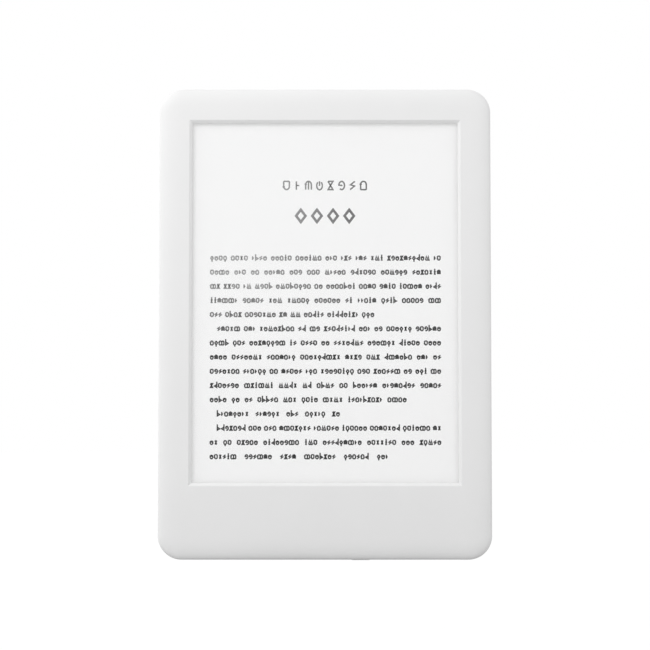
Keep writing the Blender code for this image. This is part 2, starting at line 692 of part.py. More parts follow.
def make_shields(parent):
    """Tinplate lids over the processor and over the radio."""
    shields = {
        "processor_shield": Area(-12.0 * MM, 16.0 * MM, 24.5 * MM, 42.5 * MM),
        "radio_shield": Area(20.0 * MM, 33.0 * MM, 30.0 * MM, 43.0 * MM),
    }
    for name, area in shields.items():
        lid = can(area, (PARTS_Y, PARTS_Y + 1.5 * MM), 0.2 * MM, 0.6 * MM)
        add_piece(name, lid, TINPLATE, parent)


def make_antenna(parent):
    antenna_y = (WEB_Y[1] + LAYER_GAP, WEB_Y[1] + 0.25 * MM)
    add_piece("wifi_antenna", plate(ANTENNA_AREA, antenna_y, 0.8 * MM), AMBER_FILM, parent)
    x, z = ANTENNA_SOCKET_PLACE
    socket_top = PARTS_Y + 1.1 * MM
    socket = rod(ANTENNA_SOCKET_PLACE, 1.1 * MM, (PARTS_Y, socket_top))
    add_piece("antenna_socket", socket, TINPLATE, parent)
    cable_y = PARTS_Y + 0.65 * MM
    resting_y = WEB_Y[1] + 0.75 * MM
    route = [
        (x, cable_y, z + 1.4 * MM),
        (x, cable_y, z + 4.5 * MM),
        (x + 0.4 * MM, cable_y, BOARD_MAIN.top + 1.0 * MM),
        (x + 1.0 * MM, resting_y, BOARD_MAIN.top + 9.0 * MM),
        (x + 1.6 * MM, resting_y, 80.0 * MM),
        (x - 0.4 * MM, resting_y, 105.0 * MM),
        (x - 1.4 * MM, resting_y, 125.0 * MM),
        (x - 1.8 * MM, resting_y, ANTENNA_AREA.bottom - 0.3 * MM),
    ]
    add_cable("antenna_cable", route, 0.9 * MM, BLACK_WIRE, parent)


# ---------------------------------------------------------------- battery


def make_battery(parent):
    cell = soft_plate(BATTERY_AREA, BATTERY_Y, 1.5 * MM, 0.5 * MM)
    add_piece("battery_cell", cell, POUCH_SILVER, parent)
    tape = plate(grown(BATTERY_AREA, -5.0 * MM), BATTERY_TAPE_Y, 0.5 * MM)
    add_piece("battery_adhesive", tape, BLACK_FOAM, parent)
    board_y = (BATTERY_Y[0] + 0.6 * MM, BATTERY_Y[0] + 1.8 * MM)
    strip = plate(CELL_BOARD_AREA, board_y, 0.4 * MM)
    add_piece("battery_protection_board", strip, GREEN_BOARD, parent)


def make_battery_lead(parent):
    """A plug on the board's upper edge and two wires up to the battery's own small board."""
    socket = Area(BATTERY_PLUG_AREA.left, BATTERY_PLUG_AREA.right, 42.6 * MM, 45.6 * MM)
    levels = (PARTS_Y, PARTS_Y + 1.7 * MM)
    socket_body = soft_plate(socket, levels, 0.2 * MM, 0.1 * MM)
    add_piece("battery_connector", socket_body, MILKY_PLASTIC, parent)
    plug = soft_plate(BATTERY_PLUG_AREA, (levels[0] + 0.1 * MM, levels[1] - 0.2 * MM), 0.2 * MM, 0.1 * MM)
    add_piece("battery_plug", plug, MILKY_PLASTIC, parent)
    plug_y = (levels[0] + levels[1]) / 2
    board_y = BATTERY_Y[0] + 1.2 * MM
    middle_x = (BATTERY_PLUG_AREA.left + BATTERY_PLUG_AREA.right) / 2
    for name, side, finish in (("red", -1, RED_WIRE), ("black", 1, BLACK_WIRE)):
        x = middle_x + side * 0.9 * MM
        route = [
            (x, plug_y, BATTERY_PLUG_AREA.top + 0.1 * MM),
            (x + side * 0.2 * MM, plug_y + 0.1 * MM, BATTERY_PLUG_AREA.top + 1.0 * MM),
            (x + side * 0.8 * MM, board_y + 0.1 * MM, CELL_BOARD_AREA.bottom - 1.0 * MM),
            (x + side * 1.0 * MM, board_y, CELL_BOARD_AREA.bottom - 0.1 * MM),
        ]
        add_cable(f"battery_lead_{name}", route, 0.7 * MM, finish, parent)


# ---------------------------------------------------------------- bottom edge


def usb_outline(inset):
    """The socket's section, narrower towards the back of the device, moved in by the inset."""
    half = USB_WIDTH / 2 - inset
    front = USB_FRONT_Y + inset
    back = USB_FRONT_Y + USB_HEIGHT - inset
    slope = 0.9 * MM
    return [
        (-half, front),
        (half, front),
        (half, back - slope),
        (half - slope, back),
        (-half + slope, back),
        (-half, back - slope),
    ]


def make_usb_socket(parent):
    outside = usb_outline(0.0)
    inside = usb_outline(USB_SHEET)
    rings = [(outside, USB_MOUTH_Z), (outside, USB_BACK_Z), (inside, USB_BACK_Z), (inside, USB_MOUTH_Z)]
    add_piece("usb_shell", loft(rings, "Z", ring_shaped=True), TINPLATE, parent)

    block = usb_outline(USB_SHEET + 0.1 * MM)
    middle_y = USB_FRONT_Y + USB_HEIGHT / 2
    half = 2.4 * MM
    low = middle_y - 0.1 * MM
    high = middle_y + 0.4 * MM
    tongue = [
        (-half, low),
        (half, low),
        (half, high - 0.1 * MM),
        (half - 0.1 * MM, high),
        (-half + 0.1 * MM, high),
        (-half, high - 0.1 * MM),
    ]
    shoulder_z = USB_BACK_Z - 1.1 * MM
    rings = [
        (tongue, USB_MOUTH_Z + 0.7 * MM),
        (tongue, shoulder_z),
        (block, shoulder_z),
        (block, USB_BACK_Z - 0.1 * MM),
    ]
    add_piece("usb_tongue", loft(rings, "Z"), BLACK_PLASTIC, parent)


def button_ring(area, radius, level):
    return (outline(area, radius, 5), level)


def make_power_button(parent):
    """A cap through the bottom edge, a flange that keeps it in, and a stem to the switch."""
    face = button_area()
    round_end = BUTTON_HEIGHT / 2 - LAYER_GAP
    wall_z = BODY_BOTTOM + SIDE_WALL
    flange_z = (wall_z + 0.2 * MM, wall_z + 0.9 * MM)
    flange = Area(face.left - 1.2 * MM, face.right + 1.2 * MM, -0.15 * MM, 1.35 * MM)
    neck = centred(BUTTON_CENTRE_X, 0.8 * MM, 2.0 * MM, 1.0 * MM)
    step = Area(neck.left - 0.2 * MM, neck.right + 0.2 * MM, neck.bottom, 2.15 * MM)
    stem = Area(neck.left, neck.right, BOARD_Y[1] + 0.1 * MM, 2.05 * MM)
    step_z = (flange_z[1] + 0.1 * MM, flange_z[1] + 0.35 * MM)
    rings = [
        button_ring(grown(face, -0.25 * MM), round_end - 0.25 * MM, 0.0),
        button_ring(grown(face, -0.08 * MM), round_end - 0.08 * MM, 0.08 * MM),
        button_ring(face, round_end, 0.25 * MM),
        button_ring(face, round_end, flange_z[0]),
        button_ring(flange, 0.2 * MM, flange_z[0]),
        button_ring(flange, 0.2 * MM, flange_z[1]),
        button_ring(neck, 0.1 * MM, flange_z[1]),
        button_ring(neck, 0.1 * MM, step_z[0]),
        button_ring(step, 0.1 * MM, step_z[0]),
        button_ring(step, 0.1 * MM, step_z[1]),
        button_ring(stem, 0.1 * MM, step_z[1]),
        button_ring(stem, 0.1 * MM, PLUNGER_Z[0] - LAYER_GAP),
    ]
    middle = (BUTTON_CENTRE_X, BUTTON_FRONT_Y + BUTTON_HEIGHT / 2, 0.0)
    add_piece("power_button", loft(rings, "Z"), WHITE_BUTTON, parent, middle)


def make_power_switch(parent):
    """A side-press switch on the board: its body has a blind hole that the plunger works in."""
    centre_y = (SWITCH_Y[0] + SWITCH_Y[1]) / 2
    body = outline(centred(BUTTON_CENTRE_X, centre_y, 4.5 * MM, 1.4 * MM), 0.1 * MM, 1)
    hole = outline(centred(BUTTON_CENTRE_X, centre_y, 1.8 * MM, 0.8 * MM), 0.1 * MM, 1)
    hole_end = PLUNGER_Z[1] + BUTTON_TRAVEL + 0.25 * MM
    rings = [(hole, hole_end), (hole, SWITCH_Z[0]), (body, SWITCH_Z[0]), (body, SWITCH_Z[1])]
    add_piece("power_switch_body", loft(rings, "Z"), BLACK_PLASTIC, parent)

    plunger = plate(centred(BUTTON_CENTRE_X, centre_y, 1.6 * MM, 0.66 * MM), PLUNGER_Z, 0.1 * MM, "Z", 1)
    middle = (BUTTON_CENTRE_X, centre_y, PLUNGER_Z[0])
    add_piece("power_switch_plunger", plunger, MILKY_PLASTIC, parent, middle)


def make_charge_light(parent):
    """A lamp on the board and a light pipe that brings its light through the bottom edge."""
    pipe_end = circle((LED_X, LED_PIPE_Y), LED_PIPE_RADIUS)
    block_z = (2.2 * MM, 3.2 * MM)
    block = circle((LED_X, LED_PIPE_Y + 0.1 * MM), 0.75 * MM)
    rings = [
        (pipe_end, BODY_BOTTOM + 0.08 * MM),
        (pipe_end, block_z[0]),
        (block, block_z[0]),
        (block, block_z[1]),
    ]
    add_piece("led_light_pipe", loft(rings, "Z"), MILKY_PLASTIC, parent)
    lamp_area = Area(LED_X - 0.6 * MM, LED_X + 0.6 * MM, 3.6 * MM, 4.2 * MM)
    lamp = plate(lamp_area, (PARTS_Y, PARTS_Y + 0.5 * MM))
    add_piece("charge_led", lamp, LED_YELLOW, parent)


# ---------------------------------------------------------------- fasteners


def screw_mesh(name, head_radius, head_height, shank_radius, shank_length):
    """A screw along +Y with a star drive in its head; its origin is where the head seats."""
    centre = (0.0, 0.0)
    top = -head_height
    star = circle(centre, head_radius * 0.55, lobe=0.7)
    rings = [
        (star, top + head_height * 0.6),
        (star, top),
        (circle(centre, head_radius * 0.88), top),
        (circle(centre, head_radius), top + head_height * 0.3),
        (circle(centre, head_radius), 0.0),
        (circle(centre, shank_radius), 0.0),
        (circle(centre, shank_radius), shank_length * 0.85),
        (circle(centre, shank_radius * 0.6), shank_length),
    ]
    return mesh_from(name, loft(rings), (0.0, 0.0, 0.0))


def add_screws(name, mesh, places, seat_y, turned, parent):
    """Copies of one screw; a turned one has its head towards the back of the device."""
    for index, (x, z) in enumerate(places):
        screw = bpy.data.objects.new(f"{name}_{index + 1}", mesh)
        screw.location = (x, seat_y, z)
        if turned:
            screw.rotation_euler = (pi, 0.0, 0.0)
        link(screw, parent)


def make_screws(parent):
    long_screw = screw_mesh("frame_screw", 1.3 * MM, 0.7 * MM, FRAME_SHANK_RADIUS, FRAME_SCREW_LENGTH)
    long_screw.materials.append(make_material("frame_screw", STEEL))
    seat_y = WEB_Y[0] - LAYER_GAP
    add_screws("frame_screw", long_screw, FRAME_SCREW_PLACES, seat_y, False, parent)
    short_screw = screw_mesh("board_screw", 1.2 * MM, 0.6 * MM, BOARD_SHANK_RADIUS, BOARD_SCREW_LENGTH)
    short_screw.materials.append(make_material("board_screw", STEEL))
    add_screws("board_screw", short_screw, BOARD_SCREW_PLACES, PARTS_Y, True, parent)


def build():
    clear_scene()
    reader = bpy.data.objects.new("e_reader", None)
    link(reader, None)
    make_front_bezel(reader)
    make_rear_cover(reader)
    make_mid_frame(reader)
    make_seals(reader)
    make_display_layers(reader)
    make_epaper_panel(reader)
    make_front_light(reader)
    make_ribbons(reader)
    make_main_board(reader)
    make_chips(reader)
    make_shields(reader)
    make_antenna(reader)
    make_battery(reader)
    make_battery_lead(reader)
    make_usb_socket(reader)
    make_power_button(reader)
    make_power_switch(reader)
    make_charge_light(reader)
    make_screws(reader)


build()
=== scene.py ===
"""The look of a pocket e-reader: fine outer shells, the lit page, every finish, and a photo studio.

Units are metres, in the frame of the CAD: X to the right across the screen, Y from the screen
to the back, Z up the screen.
"""

import json
import random
from collections import namedtuple
from math import cos, pi, radians, sin, sqrt

import bmesh
import bpy
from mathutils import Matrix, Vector


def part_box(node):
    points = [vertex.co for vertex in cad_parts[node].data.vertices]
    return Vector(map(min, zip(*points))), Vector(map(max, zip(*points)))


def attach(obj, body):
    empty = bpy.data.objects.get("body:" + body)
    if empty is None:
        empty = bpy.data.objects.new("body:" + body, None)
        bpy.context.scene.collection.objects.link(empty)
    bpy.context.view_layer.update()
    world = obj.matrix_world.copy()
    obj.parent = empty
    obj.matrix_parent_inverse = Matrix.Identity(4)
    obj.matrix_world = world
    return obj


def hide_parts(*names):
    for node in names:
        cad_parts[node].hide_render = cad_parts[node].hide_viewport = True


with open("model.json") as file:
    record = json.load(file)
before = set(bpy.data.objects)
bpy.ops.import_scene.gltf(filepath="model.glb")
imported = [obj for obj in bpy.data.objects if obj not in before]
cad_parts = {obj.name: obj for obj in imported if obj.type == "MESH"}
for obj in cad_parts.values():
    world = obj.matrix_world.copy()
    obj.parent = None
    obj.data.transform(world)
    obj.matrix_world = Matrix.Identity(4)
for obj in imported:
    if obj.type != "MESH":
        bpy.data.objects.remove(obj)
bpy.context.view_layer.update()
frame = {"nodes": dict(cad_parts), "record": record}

MM = 0.001
SEED = 20

# ---------------------------------------------------------------- sizes, as in the CAD

Area = namedtuple("Area", "left right bottom top")


def grown(area, by):
    """The same area with every side moved out by this much, or in where it is negative."""
    return Area(area.left - by, area.right + by, area.bottom - by, area.top + by)


def centred(u, v, width, height):
    """An area of this size round its middle point."""
    return Area(u - width / 2, u + width / 2, v - height / 2, v + height / 2)


def front_area(node):
    """A CAD node's box, seen from the front."""
    low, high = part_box(node)
    return Area(low.x, high.x, low.z, high.z)


BODY = front_area("front_bezel")
FRONT_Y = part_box("front_bezel")[0].y
BACK_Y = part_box("rear_cover")[1].y
CORNER_RADIUS = 8.1 * MM
FRONT_ROLL_WIDTH = 7.5 * MM
FRONT_ROLL_DEPTH = 2.2 * MM
FRONT_ROLL_POWER = 2.6
BACK_ROLL_WIDTH = 6.0 * MM
BACK_ROLL_DEPTH = 3.15 * MM
SIDE_WALL = 1.5 * MM
INNER_ROLL_WIDTH = 4.6 * MM
REAR_INSIDE_Y = BACK_Y - 1.2 * MM
SEAM_Y = FRONT_Y + 3.1 * MM
SEAM_GAP = 0.1 * MM
SEAM_EASE = 0.1 * MM
# The small round on each side of the seam, in eases: (in from the wall, away from the seam)
EASE_STEPS = [(1.0, 0.0), (0.62, 0.08), (0.29, 0.29), (0.08, 0.62), (0.0, 1.0)]
SMALLEST_CORNER = 0.5 * MM

WINDOW = Area(-46.2 * MM, 46.2 * MM, BODY.top - 135.15 * MM, BODY.top - 10.75 * MM)
CHAMFER_WIDTH = 1.0 * MM
CHAMFER_DEPTH = 0.85 * MM
CHAMFER_EASE = 0.07 * MM
UNDER_WINDOW_Y = FRONT_Y + CHAMFER_DEPTH + 0.15 * MM
UNDER_EDGE_Y = FRONT_Y + 1.55 * MM
LAYERS = front_area("touch_cover_layer")
BEZEL_POCKET = Area(-49.4 * MM, 49.4 * MM, 9.0 * MM, LAYERS.top + 0.3 * MM)
LIP_OUTSIDE = 1.65 * MM
LIP_INSIDE = 2.55 * MM
LIP_END_Y = -0.3 * MM

FRAME_SCREWS = [f"frame_screw_{index}" for index in range(1, 9)]
BOSS_RADIUS = 1.7 * MM
BOSS_START_Y = -0.1 * MM
SCREW_BORE_RADIUS = 0.85 * MM
SCREW_BORE_END_Y = 2.4 * MM
BATTERY = front_area("battery_cell")
BATTERY_ROOM = 0.6 * MM
RIB_THICKNESS = 0.8 * MM
RIB_START_Y = 0.4 * MM
ROOTED_Y = REAR_INSIDE_Y + 0.25 * MM
PAGE_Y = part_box("epaper_panel")[0].y

USB_LOW, USB_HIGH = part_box("usb_shell")
USB_SHEET = 0.25 * MM
USB_BACK_SLOPE = 0.9 * MM
USB_CORNER_RADIUS = 0.45 * MM
USB_CONTACTS = 5
USB_CONTACT_PITCH = 0.65 * MM
BUTTON_TOP_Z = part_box("power_button")[1].z
BUTTON_X = 12.1 * MM
BUTTON_WIDTH = 6.4 * MM
BUTTON_FRONT_Y = 0.15 * MM
BUTTON_DEPTH = 1.7 * MM
BUTTON_EDGE = 0.25 * MM
BUTTON_GAP = 0.12 * MM
LED_X = 6.3 * MM
LED_Y = 0.9 * MM
LED_RADIUS = 0.45 * MM
LED_GAP = 0.1 * MM
LED_BLOCK_RADIUS = 0.75 * MM
LED_BLOCK_START_Z = 2.2 * MM
LED_DOME = 0.1 * MM

CORNER_STEPS = 22
MERGE_DISTANCE = 2e-7

# ---------------------------------------------------------------- bodies from outlines


def outline(area, radius=0.0, steps=CORNER_STEPS):
    """Points round a rectangle with rounded corners, starting at its lower right corner."""
    corners = [
        (area.right - radius, area.bottom + radius, -90),
        (area.right - radius, area.top - radius, 0),
        (area.left + radius, area.top - radius, 90),
        (area.left + radius, area.bottom + radius, 180),
    ]
    points = []
    for centre_u, centre_v, start in corners:
        for step in range(steps + 1):
            angle = radians(start + 90 * step / steps)
            points.append((centre_u + radius * cos(angle), centre_v + radius * sin(angle)))
    return points


def circle(centre, radius, sides=32):
    """Points round a circle."""
    turns = [2 * pi * side / sides for side in range(sides)]
    return [(centre[0] + radius * cos(turn), centre[1] + radius * sin(turn)) for turn in turns]


def flat_ring(points, level, axis="Y"):
    """Points of an outline set in space at one level along the axis."""
    if axis == "Y":
        return [(u, level, v) for u, v in points]
    return [(u, v, level) for u, v in points]


def loft(rings, ring_shaped=False):
    """One closed body through rings of equal point count.

    A ring-shaped body joins its last ring to its first; any other is capped at both ends.
    """
    shape = bmesh.new()
    loops = [[shape.verts.new(point) for point in ring] for ring in rings]
    pairs = list(zip(loops, loops[1:]))
    if ring_shaped:
        pairs.append((loops[-1], loops[0]))
    else:
        shape.faces.new(loops[0])
        shape.faces.new(loops[-1])
    for first, second in pairs:
        for here in range(len(first)):
            after = (here + 1) % len(first)
            shape.faces.new((first[here], first[after], second[after], second[here]))
    bmesh.ops.remove_doubles(shape, verts=shape.verts, dist=MERGE_DISTANCE)
    bmesh.ops.recalc_face_normals(shape, faces=shape.faces)
    return shape


def plate(area, levels, radius=0.0, axis="Y", steps=6):
    """A flat block with this outline, between its two levels along the axis."""
    points = outline(area, radius, steps)
    return loft([flat_ring(points, level, axis) for level in levels])


def joined(shapes):
    """One mesh that holds several separate closed bodies."""
    whole = bmesh.new()
    for shape in shapes:
        mesh = bpy.data.meshes.new("joining")
        shape.to_mesh(mesh)
        whole.from_mesh(mesh)
        bpy.data.meshes.remove(mesh)
        shape.free()
    return whole


def new_mesh(name, shape, smooth=True):
    """Turns a shape into a mesh, shaded smooth between its sharp edges unless told not to."""
    mesh = bpy.data.meshes.new(name)
    shape.to_mesh(mesh)
    shape.free()
    if smooth:
        mesh.shade_smooth()
        mesh.set_sharp_from_angle(angle=radians(28))
    return mesh


def new_piece(name, shape, material, body="case", smooth=True):
    """Adds a piece of the device that moves with one of the CAD's bodies."""
    piece = bpy.data.objects.new(name, new_mesh(name, shape, smooth))
    bpy.context.scene.collection.objects.link(piece)
    piece.data.materials.append(material)
    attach(piece, body)
    return piece


def combined(name, shape, steps):
    """The shape after shapes are joined to it or cut from it, as one closed body."""
    item = bpy.data.objects.new(name, new_mesh(name, shape))
    bpy.context.scene.collection.objects.link(item)
    guides = []
    for operation, parts in steps:
        guide = bpy.data.objects.new("guide", new_mesh("guide", joined(parts), smooth=False))
        bpy.context.scene.collection.objects.link(guide)
        modifier = item.modifiers.new(operation, "BOOLEAN")
        modifier.solver = "EXACT"
        modifier.operation = operation
        modifier.object = guide
        guides.append(guide)
    evaluated = item.evaluated_get(bpy.context.evaluated_depsgraph_get())
    result = bmesh.new()
    result.from_mesh(evaluated.to_mesh())
    evaluated.to_mesh_clear()
    for helper in [item, *guides]:
        bpy.data.objects.remove(helper)
    return result


# ---------------------------------------------------------------- nodes of a finish


def feed(tree, socket, value):
    """Links an output to the socket, or sets the socket to a plain value."""
    if isinstance(value, bpy.types.NodeSocket):
        tree.links.new(value, socket)
    else:
        socket.default_value = value


class Finish:
    """A Principled material and the few node patterns that every finish here is made from."""

    def __init__(self, name, roughness=0.5, metallic=0.0):
        self.material = bpy.data.materials.new(name)
        self.material.use_nodes = True
        self.tree = self.material.node_tree
        self.shader = self.tree.nodes["Principled BSDF"]
        self.shader.inputs["Roughness"].default_value = roughness
        self.shader.inputs["Metallic"].default_value = metallic
        self.place = self.tree.nodes.new("ShaderNodeTexCoord").outputs["Object"]

    def node(self, kind, inputs=None, **settings):
        made = self.tree.nodes.new(kind)
        for name, value in settings.items():
            setattr(made, name, value)
        for name, value in (inputs or {}).items():
            feed(self.tree, made.inputs[name], value)
        return made

    def stretched(self, x=1.0, y=1.0, z=1.0):
        """The object's coordinates, squeezed by these factors, for a grain that runs one way."""
        return self.node("ShaderNodeMapping", {"Vector": self.place, "Scale": (x, y, z)}).outputs[0]

    def noise(self, size, detail=3.0, place=None):
        """Cloudy noise from 0 to 1 whose features are about this size."""
        values = {"Vector": place or self.place, "Scale": 1 / size, "Detail": detail}
        return self.node("ShaderNodeTexNoise", values).outputs["Fac"]

    def cells(self, size, feature="F1", place=None):
        """Distance within round cells of about this size."""
        values = {"Vector": place or self.place, "Scale": 1 / size}
        return self.node("ShaderNodeTexVoronoi", values, feature=feature).outputs["Distance"]

    def calculate(self, operation, *values):
        """The outcome of a sum on outputs and plain numbers."""
        made = self.node("ShaderNodeMath", operation=operation)
        for socket, value in zip(made.inputs, values):
            feed(self.tree, socket, value)
        return made.outputs[0]

    def blend(self, first, second, share):
        """Two amounts added together, with this share of the first and the rest of the second."""
        rest = self.calculate("MULTIPLY", second, 1 - share)
        return self.calculate("MULTIPLY_ADD", first, share, rest)

    def axis(self, name):
        """One of the object's coordinates, X, Y or Z."""
        return self.node("ShaderNodeSeparateXYZ", {"Vector": self.place}).outputs[name]

    def between(self, amount, low, high, start=0.0, end=1.0):
        """A value that goes from low to high as the amount goes from start to end."""
        values = {"Value": amount, "From Min": start, "From Max": end, "To Min": low, "To Max": high}
        return self.node("ShaderNodeMapRange", values).outputs["Result"]

    def ramp(self, amount, stops):
        """A colour picked by the amount, from (position, colour) stops."""
        made = self.node("ShaderNodeValToRGB", {"Fac": amount})
        elements = made.color_ramp.elements
        while len(elements) < len(stops):
            elements.new(0.5)
        for element, (position, colour) in zip(elements, stops):
            element.position = position
            element.color = (*colour, 1.0)
        return made.outputs["Color"]

    def shades(self, amount, colour, spread, start=0.3, end=0.7):
        """The colour, a little darker and a little lighter as the amount varies."""
        dark = tuple(value * (1 - spread) for value in colour)
        light = tuple(min(value * (1 + spread), 1.0) for value in colour)
        return self.ramp(amount, [(start, dark), (end, light)])

    def mixed(self, amount, first, second):
        """The first colour where the amount is 0, the second where it is 1."""
        made = self.node("ShaderNodeMix", {0: amount}, data_type="RGBA")
        made.inputs[6].default_value = (*first, 1.0)
        made.inputs[7].default_value = (*second, 1.0)
        return made.outputs[2]

    def relief(self, height, depth, strength=1.0, under=None):
        """A bump of this depth in metres, laid over another bump if one is given."""
        values = {"Height": height, "Distance": depth, "Strength": strength}
        if under:
            values["Normal"] = under
        return self.node("ShaderNodeBump", values).outputs["Normal"]

    def use(self, **sockets):
        """Links outputs to the shader's sockets, named with _ for a space."""
        for name, output in sockets.items():
            self.tree.links.new(output, self.shader.inputs[name.replace("_", " ")])
        return self

    def constant(self, name, value):
        """Sets one of the shader's sockets to a plain value."""
        self.shader.inputs[name].default_value = value
        return self


# ---------------------------------------------------------------- finishes

PAPER_COLOUR = (0.57, 0.57, 0.57)
PAPER_GLOW = (0.97, 0.97, 0.97)
PAPER_GLOW_STRENGTH = 0.41
INK_DARK = (0.012, 0.012, 0.013)
INK_UNDER_PAINTED_SHEEN = (0.39, 0.39, 0.39)
CLEAR_LAYER_OPACITY = 0.012


def white_plastic(name, colour, polished):
    """Moulded plastic with a fine spark-eroded texture, smoother where hands hold the edges."""
    finish = Finish(name)
    cloud = finish.noise(14 * MM, 4)
    grain = finish.noise(0.22 * MM, 2)
    pits = finish.cells(0.3 * MM)
    from_side = finish.calculate("ABSOLUTE", finish.axis("X"))
    rim = finish.between(from_side, 0.0, polished, BODY.right - 6 * MM, BODY.right)
    rough = finish.calculate("SUBTRACT", finish.between(cloud, 0.50, 0.62, 0.3, 0.7), rim)
    speckle = finish.calculate("MULTIPLY_ADD", grain, 0.5, 0.25)
    tone = finish.calculate("MULTIPLY", cloud, speckle)
    rough_relief = finish.relief(pits, 0.006 * MM, 0.35)
    finish.use(
        Base_Color=finish.shades(tone, colour, 0.012, 0.1, 0.4),
        Roughness=rough,
        Normal=finish.relief(grain, 0.008 * MM, 0.5, rough_relief),
    )
    return finish.material


def e_paper(name):
    """The ink film: fine capsules between grey and white, lit by the front light's even glow."""
    finish = Finish(name, roughness=0.6)
    capsules = finish.noise(0.09 * MM, 2)
    sheet = finish.noise(25 * MM, 2)
    tone = finish.blend(capsules, sheet, 0.7)
    paper = finish.shades(tone, PAPER_COLOUR, 0.02)
    glow = finish.shades(tone, PAPER_GLOW, 0.008)
    finish.use(
        Base_Color=paper,
        Emission_Color=glow,
        Normal=finish.relief(capsules, 0.004 * MM, 0.3),
    )
    finish.constant("Emission Strength", PAPER_GLOW_STRENGTH)
    return finish.material


def page_ink(name):
    """Black pigment with a painted sheen: its colour is lighter towards the upper left, as if the film's
    sheen lay over it.
    """
    finish = Finish(name, roughness=0.7)
    # Painted sheen: the ink is lightened towards the upper left, plus a little random blotching of its
    # tone.
    upwards = finish.between(finish.axis("Z"), 0.0, 1.0, 72 * MM, 97 * MM)
    leftwards = finish.between(finish.axis("X"), 1.0, 0.1, -26 * MM, 26 * MM)
    blotch = finish.between(finish.noise(0.35 * MM, 2), -0.06, 0.06, 0.3, 0.7)
    painted_sheen_and_blotch = finish.calculate("ADD", finish.calculate("MULTIPLY", upwards, leftwards), blotch)
    finish.use(Base_Color=finish.ramp(painted_sheen_and_blotch, [(0.0, INK_DARK), (1.0, INK_UNDER_PAINTED_SHEEN)]))
    return finish.material


def clear_layer(name):
    """Matt clear film: almost nothing of it shows but a slight haze."""
    finish = Finish(name)
    etch = finish.noise(0.12 * MM, 2)
    finish.use(
        Base_Color=finish.shades(etch, (0.90, 0.90, 0.90), 0.02),
        Roughness=finish.between(etch, 0.45, 0.6, 0.3, 0.7),
        Normal=finish.relief(etch, 0.002 * MM, 0.3),
    )
    finish.constant("Alpha", CLEAR_LAYER_OPACITY)
    return finish.material


def milky_plastic(name, colour):
    """Cloudy plastic that lets some light in, for plugs and light pipes."""
    finish = Finish(name)
    cloud = finish.noise(1.5 * MM, 3)
    finish.use(
        Base_Color=finish.shades(cloud, colour, 0.03),
        Roughness=finish.between(cloud, 0.3, 0.45, 0.3, 0.7),
        Normal=finish.relief(finish.noise(0.2 * MM, 2), 0.003 * MM, 0.3),
    )
    finish.constant("Subsurface Weight", 0.15)
    finish.constant("Subsurface Scale", 0.5 * MM)
    return finish.material


def dark_plastic(name, colour):
    """Moulded resin with a fine matt grain and a trace of dust."""
    finish = Finish(name)
    grain = finish.noise(0.12 * MM, 3)
    dust = finish.noise(2.5 * MM, 4)
    body = finish.shades(dust, colour, 0.25)
    finish.use(
        Base_Color=body,
        Roughness=finish.between(dust, 0.42, 0.6, 0.3, 0.7),
        Normal=finish.relief(grain, 0.006 * MM, 0.5),
    )
    return finish.material


def foam(name):
    """Black foam tape: open cells all over."""
    finish = Finish(name, roughness=0.95)
    cells = finish.cells(0.22 * MM)
    finish.use(
        Base_Color=finish.ramp(cells, [(0.1, (0.012, 0.012, 0.012)), (0.7, (0.05, 0.05, 0.05))]),
        Normal=finish.relief(cells, 0.05 * MM, 0.8),
    )
    return finish.material


def brushed_metal(name, colour, low, high, along):
    """Sheet metal with rolling marks that run along one axis, and duller patches."""
    finish = Finish(name, metallic=1.0)
    factors = {axis: (0.03 if axis == along else 1.0) for axis in "xyz"}
    lines = finish.noise(0.12 * MM, 3, finish.stretched(**factors))
    patches = finish.noise(7 * MM, 4)
    tone = finish.blend(lines, patches, 0.5)
    finish.use(
        Base_Color=finish.shades(tone, colour, 0.08),
        Roughness=finish.between(tone, low, high, 0.3, 0.7),
        Normal=finish.relief(lines, 0.004 * MM, 0.4),
    )
    return finish.material


def foil(name, colour):
    """The battery's pouch: soft aluminium laminate with shallow creases."""
    finish = Finish(name, metallic=0.6)
    creases = finish.noise(6 * MM, 4)
    dimples = finish.cells(1.2 * MM, "SMOOTH_F1")
    finish.use(
        Base_Color=finish.shades(creases, colour, 0.06),
        Roughness=finish.between(creases, 0.3, 0.5, 0.3, 0.7),
        Normal=finish.relief(creases, 0.15 * MM, 0.6, finish.relief(dimples, 0.03 * MM, 0.4)),
    )
    return finish.material


def circuit_board(name, colour):
    """Green solder mask over copper tracks, with bare rings here and there."""
    finish = Finish(name, roughness=0.4)
    values = {"Vector": finish.place, "Scale": 1 / (2.2 * MM), "Randomness": 1.0}
    tracks = finish.node("ShaderNodeTexVoronoi", values, feature="DISTANCE_TO_EDGE").outputs["Distance"]
    fine = finish.noise(0.1 * MM, 2)
    covered = finish.between(tracks, 1.0, 0.0, 0.03, 0.05)
    light = tuple(min(value * 1.9, 1.0) for value in colour)
    finish.use(
        Base_Color=finish.mixed(covered, colour, light),
        Roughness=finish.between(fine, 0.32, 0.48, 0.3, 0.7),
        Normal=finish.relief(covered, 0.02 * MM, 0.5, finish.relief(fine, 0.003 * MM, 0.4)),
    )
    return finish.material


def copper_film(name, colour):
    """Amber polyimide over copper lines, as in a flexible circuit."""
    finish = Finish(name, roughness=0.35)
    values = {"Vector": finish.place, "Scale": 1 / (3.2 * MM), "Distortion": 0.0}
    bands = finish.node("ShaderNodeTexWave", values, bands_direction="X").outputs["Fac"]
    lines = finish.between(bands, 0.0, 1.0, 0.45, 0.55)
    light = tuple(min(value * 1.5, 1.0) for value in colour)
    cloud = finish.noise(3 * MM, 3)
    finish.use(
        Base_Color=finish.mixed(lines, colour, light),
        Roughness=finish.between(cloud, 0.25, 0.45, 0.3, 0.7),
        Normal=finish.relief(lines, 0.015 * MM, 0.5),
    )
    return finish.material


